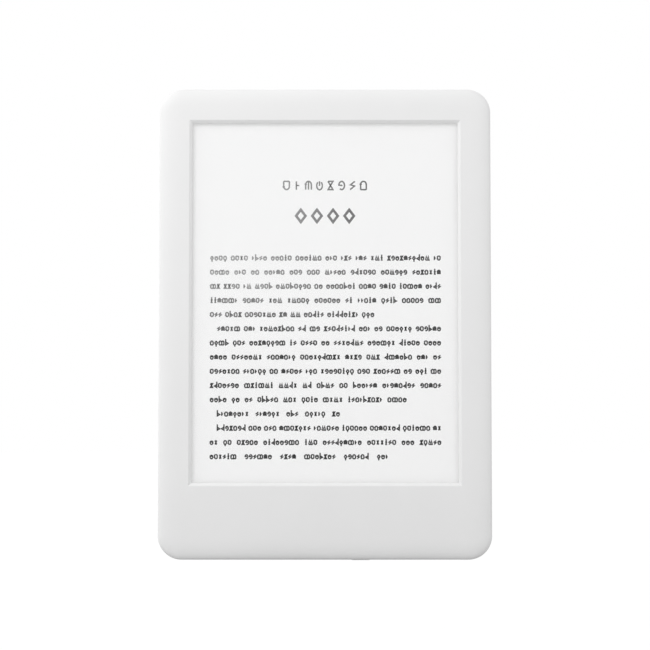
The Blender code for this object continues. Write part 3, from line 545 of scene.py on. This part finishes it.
def wire_sleeve(name, colour):
    """Soft insulation, a little uneven and scuffed."""
    finish = Finish(name)
    scuffs = finish.noise(0.6 * MM, 4)
    finish.use(
        Base_Color=finish.shades(scuffs, colour, 0.15),
        Roughness=finish.between(scuffs, 0.38, 0.6, 0.3, 0.7),
        Normal=finish.relief(finish.noise(0.15 * MM, 2), 0.01 * MM, 0.4),
    )
    return finish.material


def sintered(name, colour):
    """Pressed ferrite: coarse dark grains."""
    finish = Finish(name)
    grains = finish.cells(0.12 * MM)
    finish.use(
        Base_Color=finish.shades(grains, colour, 0.3, 0.1, 0.6),
        Roughness=finish.between(grains, 0.6, 0.85),
        Normal=finish.relief(grains, 0.015 * MM, 0.6),
    )
    return finish.material


def lamp_face(name, colour):
    """A small lamp's phosphor, in a clear resin."""
    finish = Finish(name)
    grains = finish.cells(0.08 * MM)
    finish.use(
        Base_Color=finish.shades(grains, colour, 0.1, 0.1, 0.6),
        Roughness=finish.between(grains, 0.2, 0.35),
        Normal=finish.relief(grains, 0.004 * MM, 0.4),
    )
    finish.constant("Coat Weight", 0.5)
    return finish.material


def gold(name):
    """Thin gilding, worn brighter in places."""
    finish = Finish(name, metallic=1.0)
    wear = finish.noise(0.3 * MM, 3)
    finish.use(
        Base_Color=finish.shades(wear, (0.86, 0.62, 0.26), 0.1),
        Roughness=finish.between(wear, 0.18, 0.34, 0.3, 0.7),
        Normal=finish.relief(wear, 0.004 * MM, 0.3),
    )
    return finish.material


FINISHES = {
    "white_shell": white_plastic("white_shell", (0.845, 0.845, 0.845), 0.08),
    "white_button": white_plastic("white_button", (0.82, 0.82, 0.82), 0.14),
    "clear_layer": clear_layer("clear_layer"),
    "e_paper": e_paper("e_paper"),
    "black_foam": foam("black_foam"),
    "black_plastic": dark_plastic("black_plastic", (0.022, 0.022, 0.024)),
    "grey_plastic": dark_plastic("grey_plastic", (0.55, 0.55, 0.54)),
    "milky_plastic": milky_plastic("milky_plastic", (0.85, 0.85, 0.80)),
    "led_yellow": lamp_face("led_yellow", (0.90, 0.82, 0.45)),
    "alloy": brushed_metal("alloy", (0.62, 0.63, 0.64), 0.38, 0.55, "x"),
    "steel": brushed_metal("steel", (0.56, 0.56, 0.57), 0.25, 0.42, "y"),
    "tinplate": brushed_metal("tinplate", (0.68, 0.69, 0.70), 0.22, 0.38, "z"),
    "green_board": circuit_board("green_board", (0.02, 0.14, 0.07)),
    "amber_film": copper_film("amber_film", (0.45, 0.20, 0.04)),
    "pouch_silver": foil("pouch_silver", (0.60, 0.61, 0.62)),
    "red_wire": wire_sleeve("red_wire", (0.60, 0.03, 0.02)),
    "black_wire": wire_sleeve("black_wire", (0.02, 0.02, 0.02)),
    "ferrite": sintered("ferrite", (0.10, 0.10, 0.11)),
}


def paint_frame():
    """Gives every CAD node the finish of its slot in the record."""
    for subpart in frame["record"]["subparts"]:
        node = frame["nodes"][subpart["node"]]
        node.data.materials.clear()
        node.data.materials.append(FINISHES[subpart["material_slot"]])


# ---------------------------------------------------------------- outer shells


def body_ring(inset, level):
    """The body's own outline, moved in, at a level from the front."""
    radius = max(CORNER_RADIUS - inset, SMALLEST_CORNER)
    return flat_ring(outline(grown(BODY, -inset), radius), level)


def area_ring(area, level, radius=0.0):
    """The outline of an area, at a level from the front."""
    return flat_ring(outline(area, radius), level)


def front_roll(steps=26):
    """(inset, level) pairs over the rolled edge of the front, from the side to the flat face."""
    pairs = []
    for step in range(1, steps + 1):
        inset = FRONT_ROLL_WIDTH * (step / steps) ** 2
        share = 1 - inset / FRONT_ROLL_WIDTH
        rise = (1 - share**FRONT_ROLL_POWER) ** (1 / FRONT_ROLL_POWER)
        pairs.append((inset, FRONT_Y + FRONT_ROLL_DEPTH * (1 - rise)))
    return pairs


def quarter_ellipse(start_inset, width, start_level, depth, steps):
    """(inset, level) pairs from a wall, over a quarter ellipse, to a flat back."""
    pairs = []
    for step in range(steps + 1):
        angle = pi / 2 * step / steps
        pairs.append((start_inset + width * (1 - cos(angle)), start_level + depth * sin(angle)))
    return pairs


def make_front_bezel():
    """The front frame: seam edge, rolled edge, face, mitred chamfer and the hidden underside."""
    rim = SEAM_Y - SEAM_GAP
    opening = grown(WINDOW, -CHAMFER_WIDTH)
    rings = [body_ring(SEAM_EASE * inset, rim - SEAM_EASE * rise) for inset, rise in EASE_STEPS]
    rings.append(body_ring(0.0, FRONT_Y + FRONT_ROLL_DEPTH))
    rings += [body_ring(inset, level) for inset, level in front_roll()]
    slope = CHAMFER_DEPTH / CHAMFER_WIDTH
    ease = CHAMFER_EASE
    foot_y = FRONT_Y + CHAMFER_DEPTH
    rings += [
        area_ring(grown(WINDOW, ease), FRONT_Y),
        area_ring(grown(WINDOW, ease * 0.1), FRONT_Y + ease * 0.12),
        area_ring(grown(WINDOW, -ease * 0.7), FRONT_Y + ease * 0.7 * slope),
        area_ring(grown(opening, ease * 0.7), foot_y - ease * 0.7 * slope),
        area_ring(grown(opening, ease * 0.1), foot_y),
        area_ring(opening, foot_y + ease * 0.6),
        area_ring(opening, UNDER_WINDOW_Y),
        area_ring(BEZEL_POCKET, UNDER_WINDOW_Y, 1.0 * MM),
        area_ring(BEZEL_POCKET, UNDER_EDGE_Y, 1.0 * MM),
        body_ring(LIP_INSIDE, UNDER_EDGE_Y),
        body_ring(LIP_INSIDE, LIP_END_Y),
        body_ring(LIP_OUTSIDE, LIP_END_Y),
        body_ring(LIP_OUTSIDE, rim),
    ]
    bezel = new_piece("bezel_shell", loft(rings, ring_shaped=True), FINISHES["white_shell"])
    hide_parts("front_bezel")


def bottom_surface(depth_place):
    """The height of the case's bottom surface at this place from front to back."""
    start = BACK_Y - BACK_ROLL_DEPTH
    if depth_place <= start:
        return BODY.bottom
    share = min((depth_place - start) / BACK_ROLL_DEPTH, 1.0)
    return BODY.bottom + BACK_ROLL_WIDTH * (1 - sqrt(1 - share**2))


def bottom_cutter(points_at, depth, ease):
    """A cutter up into the bottom edge, with a rounded mouth that follows the surface.

    points_at gives the opening's outline, grown by an amount.
    """
    rings = [[(x, y, bottom_surface(y) - 0.5 * MM) for x, y in points_at(ease * 1.2)]]
    for turn in (20, 40, 60, 75, 90):
        grow = ease * (1 - sin(radians(turn)))
        rise = ease * (1 - cos(radians(turn)))
        rings.append([(x, y, bottom_surface(y) + rise) for x, y in points_at(grow)])
    rings.append([(x, y, depth) for x, y in points_at(0.0)])
    return loft(rings)


def button_area(margin=0.0):
    """The button's outline seen from below, grown by a margin."""
    middle = BUTTON_FRONT_Y + BUTTON_DEPTH / 2
    return centred(BUTTON_X, middle, BUTTON_WIDTH + 2 * margin, BUTTON_DEPTH + 2 * margin)


def usb_mouth(by):
    """The outline of the opening for the charging socket, grown by an amount."""
    middle_y = (USB_LOW.y + USB_HIGH.y) / 2
    width = USB_HIGH.x - USB_LOW.x + 0.5 * MM
    height = USB_HIGH.y - USB_LOW.y + 0.4 * MM
    return outline(grown(centred(0.0, middle_y, width, height), by), 0.6 * MM + by, 8)


def button_mouth(by):
    """The outline of the opening for the power button, grown by an amount."""
    area = button_area(BUTTON_GAP + by)
    return outline(area, (area.top - area.bottom) / 2 - 0.05 * MM, 12)


def led_mouth(by):
    """The outline of the opening for the charging light, grown by an amount."""
    return circle((LED_X, LED_Y), LED_RADIUS + LED_GAP + by)


def rear_shell():
    """The hollow shell of the rear cover, without anything added or cut."""
    outer_start = BACK_Y - BACK_ROLL_DEPTH
    outside = quarter_ellipse(0.0, BACK_ROLL_WIDTH, outer_start, BACK_ROLL_DEPTH, 24)
    inside = quarter_ellipse(SIDE_WALL, INNER_ROLL_WIDTH, outer_start, REAR_INSIDE_Y - outer_start, 10)
    rim = [(SEAM_EASE * inset, SEAM_Y + SEAM_EASE * rise) for inset, rise in EASE_STEPS[::-1]]
    profile = outside[::-1] + rim + [(SIDE_WALL, SEAM_Y)] + inside
    return loft([body_ring(inset, level) for inset, level in profile])


def screw_boss_parts():
    """The bosses that the frame screws go into, and the bores down them."""
    bosses = []
    bores = []
    for name in FRAME_SCREWS:
        low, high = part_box(name)
        place = ((low.x + high.x) / 2, (low.z + high.z) / 2)
        boss_levels = (BOSS_START_Y, ROOTED_Y)
        bore_levels = (BOSS_START_Y - 0.1 * MM, SCREW_BORE_END_Y)
        bosses.append(loft([flat_ring(circle(place, BOSS_RADIUS), level) for level in boss_levels]))
        bores.append(loft([flat_ring(circle(place, SCREW_BORE_RADIUS), level) for level in bore_levels]))
    return bosses, bores


def battery_ribs():
    """Walls at both sides of the battery and above it."""
    bay = grown(BATTERY, BATTERY_ROOM)
    rib = RIB_THICKNESS
    places = [
        Area(bay.left - rib, bay.left, bay.bottom, bay.top),
        Area(bay.right, bay.right + rib, bay.bottom, bay.top),
        Area(bay.left + rib, bay.right - rib, bay.top + rib, bay.top + 2 * rib),
    ]
    return [plate(place, (RIB_START_Y, ROOTED_Y), 0.1 * MM) for place in places]


def make_rear_cover():
    """The back shell with its screw bosses, battery ribs and the openings in its bottom edge."""
    bosses, bores = screw_boss_parts()
    openings = [
        bottom_cutter(usb_mouth, 4.5 * MM, 0.18 * MM),
        bottom_cutter(button_mouth, 3.0 * MM, 0.08 * MM),
        bottom_cutter(led_mouth, 3.0 * MM, 0.08 * MM),
    ]
    steps = [("UNION", bosses + battery_ribs()), ("DIFFERENCE", bores + openings)]
    cover = new_piece("back_shell", combined("rear", rear_shell(), steps), FINISHES["white_shell"])
    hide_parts("rear_cover")


# ---------------------------------------------------------------- bottom edge


def make_power_button():
    """The button's cap with a soft edge, then its flange, neck and stem as in the CAD."""
    face = button_area()
    round_end = BUTTON_DEPTH / 2 - 0.05 * MM
    flange_z = (2.05 * MM, 2.75 * MM)
    step_z = (2.85 * MM, 3.1 * MM)
    flange = Area(face.left - 1.2 * MM, face.right + 1.2 * MM, -0.15 * MM, 1.35 * MM)
    neck = centred(BUTTON_X, 0.8 * MM, 2.0 * MM, 1.0 * MM)
    step = Area(neck.left - 0.2 * MM, neck.right + 0.2 * MM, neck.bottom, 2.15 * MM)
    stem = Area(neck.left, neck.right, 1.0 * MM, 2.05 * MM)
    flange_corner = 0.2 * MM
    stem_corner = 0.1 * MM
    rings = []
    for turn in range(0, 91, 10):
        inset = BUTTON_EDGE * (1 - sin(radians(turn)))
        rise = BUTTON_EDGE * (1 - cos(radians(turn)))
        rings.append((grown(face, -inset), round_end - inset, rise))
    rings += [
        (face, round_end, flange_z[0]),
        (flange, flange_corner, flange_z[0]),
        (flange, flange_corner, flange_z[1]),
        (neck, stem_corner, flange_z[1]),
        (neck, stem_corner, step_z[0]),
        (step, stem_corner, step_z[0]),
        (step, stem_corner, step_z[1]),
        (stem, stem_corner, step_z[1]),
        (stem, stem_corner, BUTTON_TOP_Z),
    ]
    shape = loft([flat_ring(outline(area, radius, 12), level, "Z") for area, radius, level in rings])
    button = new_piece("button_cap", shape, FINISHES["white_button"], "power_button")
    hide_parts("power_button")


def rounded_outline(corners, radius, steps=4):
    """Points round a polygon with each corner rounded off."""
    points = []
    count = len(corners)
    for index, corner in enumerate(corners):
        here = Vector(corner)
        back = (Vector(corners[index - 1]) - here).normalized()
        ahead = (Vector(corners[(index + 1) % count]) - here).normalized()
        start = here + back * radius
        end = here + ahead * radius
        for step in range(steps + 1):
            t = step / steps
            point = start * (1 - t) ** 2 + here * 2 * t * (1 - t) + end * t**2
            points.append(tuple(point))
    return points


def usb_section(inset):
    """The socket's section, narrower towards the back of the device, moved in by the inset."""
    half = USB_HIGH.x - inset
    front = USB_LOW.y + inset
    back = USB_HIGH.y - inset
    slope = USB_BACK_SLOPE
    corners = [
        (-half, front),
        (half, front),
        (half, back - slope),
        (half - slope, back),
        (-half + slope, back),
        (-half, back - slope),
    ]
    return rounded_outline(corners, USB_CORNER_RADIUS - inset * 0.6)


def make_usb_shell():
    """The socket's folded metal shell, with a rounded lip at its mouth."""
    lip = USB_SHEET / 2
    rings = [flat_ring(usb_section(0.0), USB_HIGH.z, "Z")]
    for turn in range(0, 181, 30):
        inset = lip * (1 - cos(radians(turn)))
        rise = lip * (1 - sin(radians(turn)))
        rings.append(flat_ring(usb_section(inset), USB_LOW.z + rise, "Z"))
    rings.append(flat_ring(usb_section(USB_SHEET), USB_HIGH.z, "Z"))
    shell = new_piece("usb_shell_folded", loft(rings, ring_shaped=True), FINISHES["tinplate"])
    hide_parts("usb_shell")


def make_usb_contacts():
    """The gilt strips along the front of the socket's tongue."""
    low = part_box("usb_tongue")[0]
    middle_y = (USB_LOW.y + USB_HIGH.y) / 2 - 0.13 * MM
    strips = []
    for index in range(USB_CONTACTS):
        x = (index - (USB_CONTACTS - 1) / 2) * USB_CONTACT_PITCH
        area = centred(x, middle_y, 0.36 * MM, 0.05 * MM)
        strips.append(plate(area, (low.z + 0.25 * MM, low.z + 3.1 * MM), 0.02 * MM, "Z", 2))
    new_piece("usb_contacts", joined(strips), gold("gold"), smooth=False)


def make_charge_light():
    """The light pipe with a domed end that just fills its hole."""
    low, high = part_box("led_light_pipe")
    end_place = (LED_X, LED_Y)
    block_place = (LED_X, LED_Y + 0.1 * MM)
    rings = []
    for turn in range(10, 91, 16):
        radius = LED_RADIUS * sin(radians(turn))
        level = low.z + LED_DOME * (1 - sin(radians(turn)))
        rings.append(flat_ring(circle(end_place, radius), level, "Z"))
    rings += [
        flat_ring(circle(end_place, LED_RADIUS), LED_BLOCK_START_Z, "Z"),
        flat_ring(circle(block_place, LED_BLOCK_RADIUS), LED_BLOCK_START_Z, "Z"),
        flat_ring(circle(block_place, LED_BLOCK_RADIUS), high.z, "Z"),
    ]
    pipe = new_piece("light_pipe", loft(rings), FINISHES["milky_plastic"])
    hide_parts("led_light_pipe")


# ---------------------------------------------------------------- the page

INK_LIFT = 0.004 * MM
INK_THICKNESS = 0.010 * MM
INK_LEVELS = (PAGE_Y - INK_LIFT - INK_THICKNESS, PAGE_Y - INK_LIFT)

TEXT_LEFT = -38.9 * MM
TEXT_RIGHT = 39.2 * MM
FIRST_BASELINE = 101.85 * MM
LINE_PITCH = 4.82 * MM
INDENT = 2.4 * MM
SMALL_HEIGHT = 1.32 * MM
PEN_WIDTH = 0.46 * MM
# In heights of a small glyph
GLYPH_GAP = 0.45
WORD_GAP = 1.05
# How far each line of text runs: None is a full line, and a paragraph starts after a short one
LINE_ENDS = [None] * 4 + [0.71] + [None] * 5 + [0.85, 0.56] + [None] * 2 + [0.77]
WORD_LENGTHS = (2, 3, 4, 5, 6, 7, 8, 9, 10)
WORD_LENGTH_WEIGHTS = (6, 9, 8, 7, 6, 5, 4, 2, 1)

HEADING_GLYPHS = 8
HEADING_BASELINE = 125.95 * MM
HEADING_HEIGHT = 2.85 * MM
HEADING_PITCH = 3.75 * MM
HEADING_PEN_WIDTH = 0.50 * MM

LOZENGES = 4
LOZENGE_MIDDLE = 116.95 * MM
LOZENGE_PITCH = 5.5 * MM
LOZENGE_REACH = (1.6 * MM, 2.1 * MM)
LOZENGE_PEN_WIDTH = 0.88 * MM

SCREEN_BORDER_OVERLAP = 0.35 * MM


def arc(centre, reach, start, end, steps=7):
    """Points along part of an ellipse, in heights of a small glyph."""
    points = []
    for step in range(steps + 1):
        angle = radians(start + (end - start) * step / steps)
        points.append((centre[0] + reach[0] * cos(angle), centre[1] + reach[1] * sin(angle)))
    return points


def invented_glyphs():
    """An invented script that spells nothing, commonest glyph first.

    Each glyph is its width and its pen strokes, in heights of a small glyph.
    """
    ring = arc((0.34, 0.5), (0.34, 0.5), 90, 450, 14)
    open_ring = arc((0.34, 0.48), (0.34, 0.5), 125, 415, 14)
    arch = [(0.0, 0.0), (0.0, 0.6)] + arc((0.34, 0.6), (0.34, 0.4), 180, 0) + [(0.68, 0.0)]
    cup = [(0.0, 1.0), (0.0, 0.4)] + arc((0.34, 0.4), (0.34, 0.4), 180, 360) + [(0.68, 1.0)]
    second_arch = arc((0.95, 0.6), (0.27, 0.4), 180, 0) + [(1.22, 0.0)]
    snail = arc((0.34, 0.5), (0.34, 0.5), -130, 175, 12) + [(0.44, 0.5)]
    right_bow = arc((0.0, 0.5), (0.28, 0.5), -80, 80)
    left_bow = arc((0.66, 0.5), (0.28, 0.5), 100, 260)
    lozenge = [(0.32, 1.0), (0.64, 0.5), (0.32, 0.0), (0.0, 0.5), (0.32, 1.0)]
    return [
        (0.68, [open_ring, [(0.34, 1.02), (0.34, 0.45)]]),
        (0.68, [arch, [(0.0, 0.0), (0.68, 0.0)]]),
        (0.68, [cup, [(0.0, 1.0), (0.68, 1.0)]]),
        (0.64, [snail]),
        (0.58, [[(0.58, 1.0), (0.04, 0.58), (0.54, 0.44), (0.0, 0.0)]]),
        (0.68, [arch, [(0.34, 0.95), (0.34, 0.0)]]),
        (0.58, [[(0.0, 1.0), (0.58, 1.0), (0.0, 0.0), (0.58, 0.0), (0.0, 1.0)]]),
        (0.40, [[(0.06, 1.0), (0.06, 0.0)], [(0.06, 0.5), (0.40, 0.5)]]),
        (0.50, [[(0.25, 1.40), (0.25, 0.0)], [(0.0, 0.62), (0.50, 0.62)], [(0.0, 0.0), (0.50, 0.0)]]),
        (1.22, [arch, second_arch, [(0.0, 0.0), (1.22, 0.0)]]),
        (0.62, [[(0.0, 1.5), (0.0, 0.0), (0.62, 0.36), (0.0, 0.76)]]),
        (0.62, [[(0.62, 1.5), (0.62, 0.0), (0.0, 0.36), (0.62, 0.76)]]),
        (0.92, [[(0.0, 0.0), (0.22, 1.0), (0.46, 0.16), (0.70, 1.0), (0.92, 0.0), (0.0, 0.0)]]),
        (0.66, [right_bow, left_bow, [(0.20, 0.5), (0.46, 0.5)]]),
        (0.68, [ring, [(0.34, 0.0), (0.34, -0.45)]]),
        (0.64, [lozenge, [(0.32, 0.0), (0.32, -0.45)]]),
    ]


def pen_stroke(points, width):
    """The outline of an even band along a line of points, with mitred corners."""
    route = [Vector(point) for point in points]
    steps = [(after - here).normalized() for here, after in zip(route, route[1:])]
    left_side = []
    right_side = []
    for point, arriving, leaving in zip(route, steps[:1] + steps, steps + steps[-1:]):
        across = Vector((-arriving.y - leaving.y, arriving.x + leaving.x)).normalized()
        squareness = max(across.dot(Vector((-arriving.y, arriving.x))), 0.5)
        reach = across * width / 2 / squareness
        left_side.append(tuple(point + reach))
        right_side.append(tuple(point - reach))
    return left_side + right_side[::-1]


def add_stroke(shape, points, width):
    """Adds one pen stroke to the page's ink: a front, a back and a wall all round."""
    section = pen_stroke(points, width)
    front, back = [[shape.verts.new((u, level, v)) for u, v in section] for level in INK_LEVELS]
    count = len(section)
    for here in range(count):
        after = (here + 1) % count
        shape.faces.new((front[here], front[after], back[after], back[here]))
    for left in range(count // 2 - 1):
        right = count - 1 - left
        shape.faces.new((front[left], front[right], front[right - 1], front[left + 1]))
        shape.faces.new((back[left + 1], back[right - 1], back[right], back[left]))


def add_ring_stroke(shape, corners, width):
    """Adds a closed outline of even width round the corners."""
    middle = sum((Vector(corner) for corner in corners), Vector((0.0, 0.0))) / len(corners)
    first = Vector(corners[0])
    second = Vector(corners[1])
    along = (second - first).normalized()
    reach = abs((first - middle).dot(Vector((-along.y, along.x))))
    outer = 1 + width / 2 / reach
    inner = 1 - width / 2 / reach
    front, back = INK_LEVELS
    chain = []
    for scale, level in ((outer, front), (outer, back), (inner, back), (inner, front)):
        places = [middle + (Vector(corner) - middle) * scale for corner in corners]
        chain.append([shape.verts.new((spot.x, level, spot.y)) for spot in places])
    for first_loop, second_loop in zip(chain, chain[1:] + chain[:1]):
        for here in range(len(corners)):
            after = (here + 1) % len(corners)
            quad = (first_loop[here], first_loop[after], second_loop[after], second_loop[here])
            shape.faces.new(quad)


def random_word(dice, glyphs):
    """Glyph numbers for one word of a random length."""
    length = dice.choices(WORD_LENGTHS, WORD_LENGTH_WEIGHTS)[0]
    weights = [1 / (place + 5) for place in range(len(glyphs))]
    return dice.choices(range(len(glyphs)), weights, k=length)


def word_width(word, glyphs):
    """How wide a word is, in heights of a small glyph."""
    return sum(glyphs[index][0] for index in word) + GLYPH_GAP * (len(word) - 1)


def line_of_words(dice, glyphs, room):
    """Words that fit in the room, in glyph heights, and the gap that sets them full."""
    words = []
    used = 0.0
    while True:
        word = random_word(dice, glyphs)
        width = word_width(word, glyphs)
        if words and used + WORD_GAP + width > room:
            break
        used += width + (WORD_GAP if words else 0.0)
        words.append(word)
    gap = WORD_GAP + (room - used) / max(len(words) - 1, 1)
    return words, gap


def add_glyph(shape, glyph, x, baseline, height, width):
    """Adds one glyph, given as its width and its strokes, to the page's ink."""
    for stroke in glyph[1]:
        points = [(x + u * height, baseline + v * height) for u, v in stroke]
        add_stroke(shape, points, width)


def add_text(shape, dice, glyphs):
    """Lines of invented writing, set full to both margins."""
    start_paragraph = False
    for number, end in enumerate(LINE_ENDS):
        baseline = FIRST_BASELINE - number * LINE_PITCH
        left = TEXT_LEFT + (INDENT if start_paragraph else 0.0)
        right = TEXT_RIGHT if end is None else TEXT_LEFT + (TEXT_RIGHT - TEXT_LEFT) * end
        words, gap = line_of_words(dice, glyphs, (right - left) / SMALL_HEIGHT)
        x = left
        for word in words:
            for index in word:
                add_glyph(shape, glyphs[index], x, baseline, SMALL_HEIGHT, PEN_WIDTH)
                x += (glyphs[index][0] + GLYPH_GAP) * SMALL_HEIGHT
            x += (gap - GLYPH_GAP) * SMALL_HEIGHT
        start_paragraph = end is not None


def add_heading(shape, dice, glyphs):
    """Widely spaced marks, centred over the text."""
    for place, glyph in enumerate(dice.sample(glyphs[:HEADING_GLYPHS], HEADING_GLYPHS)):
        x = (place - (HEADING_GLYPHS - 1) / 2) * HEADING_PITCH - glyph[0] * HEADING_HEIGHT / 2
        add_glyph(shape, glyph, x, HEADING_BASELINE, HEADING_HEIGHT, HEADING_PEN_WIDTH)


def add_lozenges(shape):
    """A row of plain lozenges under the heading."""
    half_width, half_height = LOZENGE_REACH
    for place in range(LOZENGES):
        x = (place - (LOZENGES - 1) / 2) * LOZENGE_PITCH
        corners = [
            (x + half_width, LOZENGE_MIDDLE),
            (x, LOZENGE_MIDDLE + half_height),
            (x - half_width, LOZENGE_MIDDLE),
            (x, LOZENGE_MIDDLE - half_height),
        ]
        add_ring_stroke(shape, corners, LOZENGE_PEN_WIDTH)


def make_page():
    """The page on show, as thin ink in front of the film."""
    dice = random.Random(SEED)
    glyphs = invented_glyphs()
    shape = bmesh.new()
    add_heading(shape, dice, glyphs)
    add_lozenges(shape)
    add_text(shape, dice, glyphs)
    bmesh.ops.recalc_face_normals(shape, faces=shape.faces)
    new_piece("page_ink", shape, page_ink("page_ink"), smooth=False)


def make_screen_border():
    """A thin white print on the back of the cover layer, which hides what lies beside the page."""
    inner = grown(WINDOW, SCREEN_BORDER_OVERLAP - CHAMFER_WIDTH)
    outer = grown(LAYERS, -0.2 * MM)
    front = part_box("touch_cover_layer")[1].y + INK_LIFT
    back = front + INK_THICKNESS
    rings = [
        area_ring(outer, front, 0.8 * MM),
        area_ring(outer, back, 0.8 * MM),
        area_ring(inner, back),
        area_ring(inner, front),
    ]
    new_piece("screen_border", loft(rings, ring_shaped=True), FINISHES["milky_plastic"], smooth=False)


# ---------------------------------------------------------------- studio

PHOTO_SIDE = 650
SENSOR = 36.0
FOCAL_PIXELS = 1771
CAMERA_DISTANCE = 0.60
CAMERA_ELEVATION = -2.85
CAMERA_AIM_BELOW_MIDDLE = 0.75 * MM

KEY_PLACE = (-0.30, -0.42, 0.46)
KEY_SIZE = (0.32, 0.26)
KEY_POWER = 1.05
WORLD_BASE = 1.37
WORLD_LEAN = (-0.24, 0.22, 0.80)
WORLD_DIM_OVERHEAD = 1.57

FLOOR_SIDE = 6.0
FLOOR_LEVEL = -30 * MM
FLOOR_COLOUR = (0.32, 0.32, 0.32)
# What the camera sees of it: an even light and a faint trace of shadow
FLOOR_SEEN = 0.90
FLOOR_SHADOW_COLOUR = (0.12, 0.12, 0.12, 1.0)
# What it throws back at the device: a glow that grows further off, painted weaker near the device as
# shade round it
FLOOR_GLOW = 0.32
FLOOR_GLOW_REACH = 0.20


def make_camera(aim):
    """The photo's viewpoint: straight in front and a little below the middle."""
    data = bpy.data.cameras.new("camera")
    data.sensor_width = SENSOR
    data.lens = FOCAL_PIXELS / PHOTO_SIDE * SENSOR
    data.clip_start = 0.01
    data.clip_end = 20.0
    camera = bpy.data.objects.new("camera", data)
    bpy.context.scene.collection.objects.link(camera)
    lift = radians(CAMERA_ELEVATION)
    back = Vector((0.0, -cos(lift), sin(lift)))
    camera.location = aim + back * CAMERA_DISTANCE
    camera.rotation_mode = "QUATERNION"
    camera.rotation_quaternion = (-back).to_track_quat("-Z", "Y")
    bpy.context.scene.camera = camera


def make_world():
    """White where the camera looks; elsewhere a soft light all round, dim overhead."""
    world = bpy.data.worlds.new("studio")
    world.use_nodes = True
    bpy.context.scene.world = world
    tree = world.node_tree
    tree.nodes.clear()
    link = tree.links.new

    def number(operation, first, second):
        made = tree.nodes.new("ShaderNodeMath")
        made.operation = operation
        feed(tree, made.inputs[0], first)
        feed(tree, made.inputs[1], second)
        return made.outputs[0]

    direction = tree.nodes.new("ShaderNodeTexCoord").outputs["Generated"]
    split = tree.nodes.new("ShaderNodeSeparateXYZ")
    link(direction, split.inputs[0])
    lean = tree.nodes.new("ShaderNodeVectorMath")
    lean.operation = "DOT_PRODUCT"
    lean.inputs[1].default_value = WORLD_LEAN
    link(direction, lean.inputs[0])
    up = number("MAXIMUM", split.outputs["Z"], 0.0)
    overhead = number("MULTIPLY", number("POWER", up, 2.0), WORLD_DIM_OVERHEAD)
    round_about = number("ADD", lean.outputs["Value"], WORLD_BASE)
    level = number("SUBTRACT", round_about, overhead)

    light = tree.nodes.new("ShaderNodeBackground")
    link(level, light.inputs["Strength"])
    seen = tree.nodes.new("ShaderNodeBackground")
    seen.inputs["Color"].default_value = (1.0, 1.0, 1.0, 1.0)
    path = tree.nodes.new("ShaderNodeLightPath")
    mix = tree.nodes.new("ShaderNodeMixShader")
    output = tree.nodes.new("ShaderNodeOutputWorld")
    link(path.outputs["Is Camera Ray"], mix.inputs[0])
    link(light.outputs[0], mix.inputs[1])
    link(seen.outputs[0], mix.inputs[2])
    link(mix.outputs[0], output.inputs["Surface"])


def make_key_light(aim):
    """One soft lamp, at the upper left in front."""
    data = bpy.data.lights.new("key", "AREA")
    data.shape = "RECTANGLE"
    data.size, data.size_y = KEY_SIZE
    data.energy = KEY_POWER
    light = bpy.data.objects.new("key", data)
    bpy.context.scene.collection.objects.link(light)
    light.location = KEY_PLACE
    light.rotation_mode = "QUATERNION"
    light.rotation_quaternion = (aim - Vector(KEY_PLACE)).to_track_quat("-Z", "Y")


def make_floor():
    """A pale sheet a little below the device, with a faint shadow, and open when seen from below."""
    shape = bmesh.new()
    bmesh.ops.create_grid(shape, x_segments=1, y_segments=1, size=FLOOR_SIDE / 2)
    floor = bpy.data.objects.new("floor", new_mesh("floor", shape, smooth=False))
    bpy.context.scene.collection.objects.link(floor)
    floor.location.z = FLOOR_LEVEL
    finish = Finish("floor", roughness=0.9)
    tree = finish.tree
    paper = finish.noise(60 * MM, 2)
    finish.use(Base_Color=finish.shades(paper, FLOOR_COLOUR, 0.01))
    finish.constant("Specular IOR Level", 0.0)
    finish.constant("Emission Color", (1.0, 1.0, 1.0, 1.0))
    away = finish.node("ShaderNodeVectorMath", {0: finish.place}, operation="LENGTH").outputs["Value"]
    # Painted shade: the floor's glow fades to nothing at the device, as if the device shaded it.
    finish.use(Emission_Strength=finish.between(away, 0.0, FLOOR_GLOW, 0.0, FLOOR_GLOW_REACH))
    glow = finish.node("ShaderNodeEmission", {"Strength": FLOOR_SEEN})
    faint = finish.node("ShaderNodeBsdfDiffuse", {"Color": FLOOR_SHADOW_COLOUR})
    seen = finish.node("ShaderNodeAddShader")
    path = finish.node("ShaderNodeLightPath")
    mix = finish.node("ShaderNodeMixShader")
    tree.links.new(glow.outputs[0], seen.inputs[0])
    tree.links.new(faint.outputs[0], seen.inputs[1])
    tree.links.new(path.outputs["Is Camera Ray"], mix.inputs[0])
    tree.links.new(finish.shader.outputs[0], mix.inputs[1])
    tree.links.new(seen.outputs[0], mix.inputs[2])
    side = finish.node("ShaderNodeNewGeometry")
    below = finish.node("ShaderNodeBsdfTransparent")
    one_sided = finish.node("ShaderNodeMixShader")
    tree.links.new(side.outputs["Backfacing"], one_sided.inputs[0])
    tree.links.new(mix.outputs[0], one_sided.inputs[1])
    tree.links.new(below.outputs[0], one_sided.inputs[2])
    tree.links.new(one_sided.outputs[0], tree.nodes["Material Output"].inputs["Surface"])
    floor.data.materials.append(finish.material)


def main():
    """Builds every piece round the frame, then the studio."""
    paint_frame()
    make_front_bezel()
    make_rear_cover()
    make_power_button()
    make_usb_shell()
    make_usb_contacts()
    make_charge_light()
    make_page()
    make_screen_border()
    middle = Vector((0.0, FRONT_Y, (BODY.bottom + BODY.top) / 2))
    make_camera(middle - Vector((0.0, 0.0, CAMERA_AIM_BELOW_MIDDLE)))
    make_world()
    make_key_light(middle)
    make_floor()
    bpy.context.scene.view_settings.view_transform = "Standard"


main()
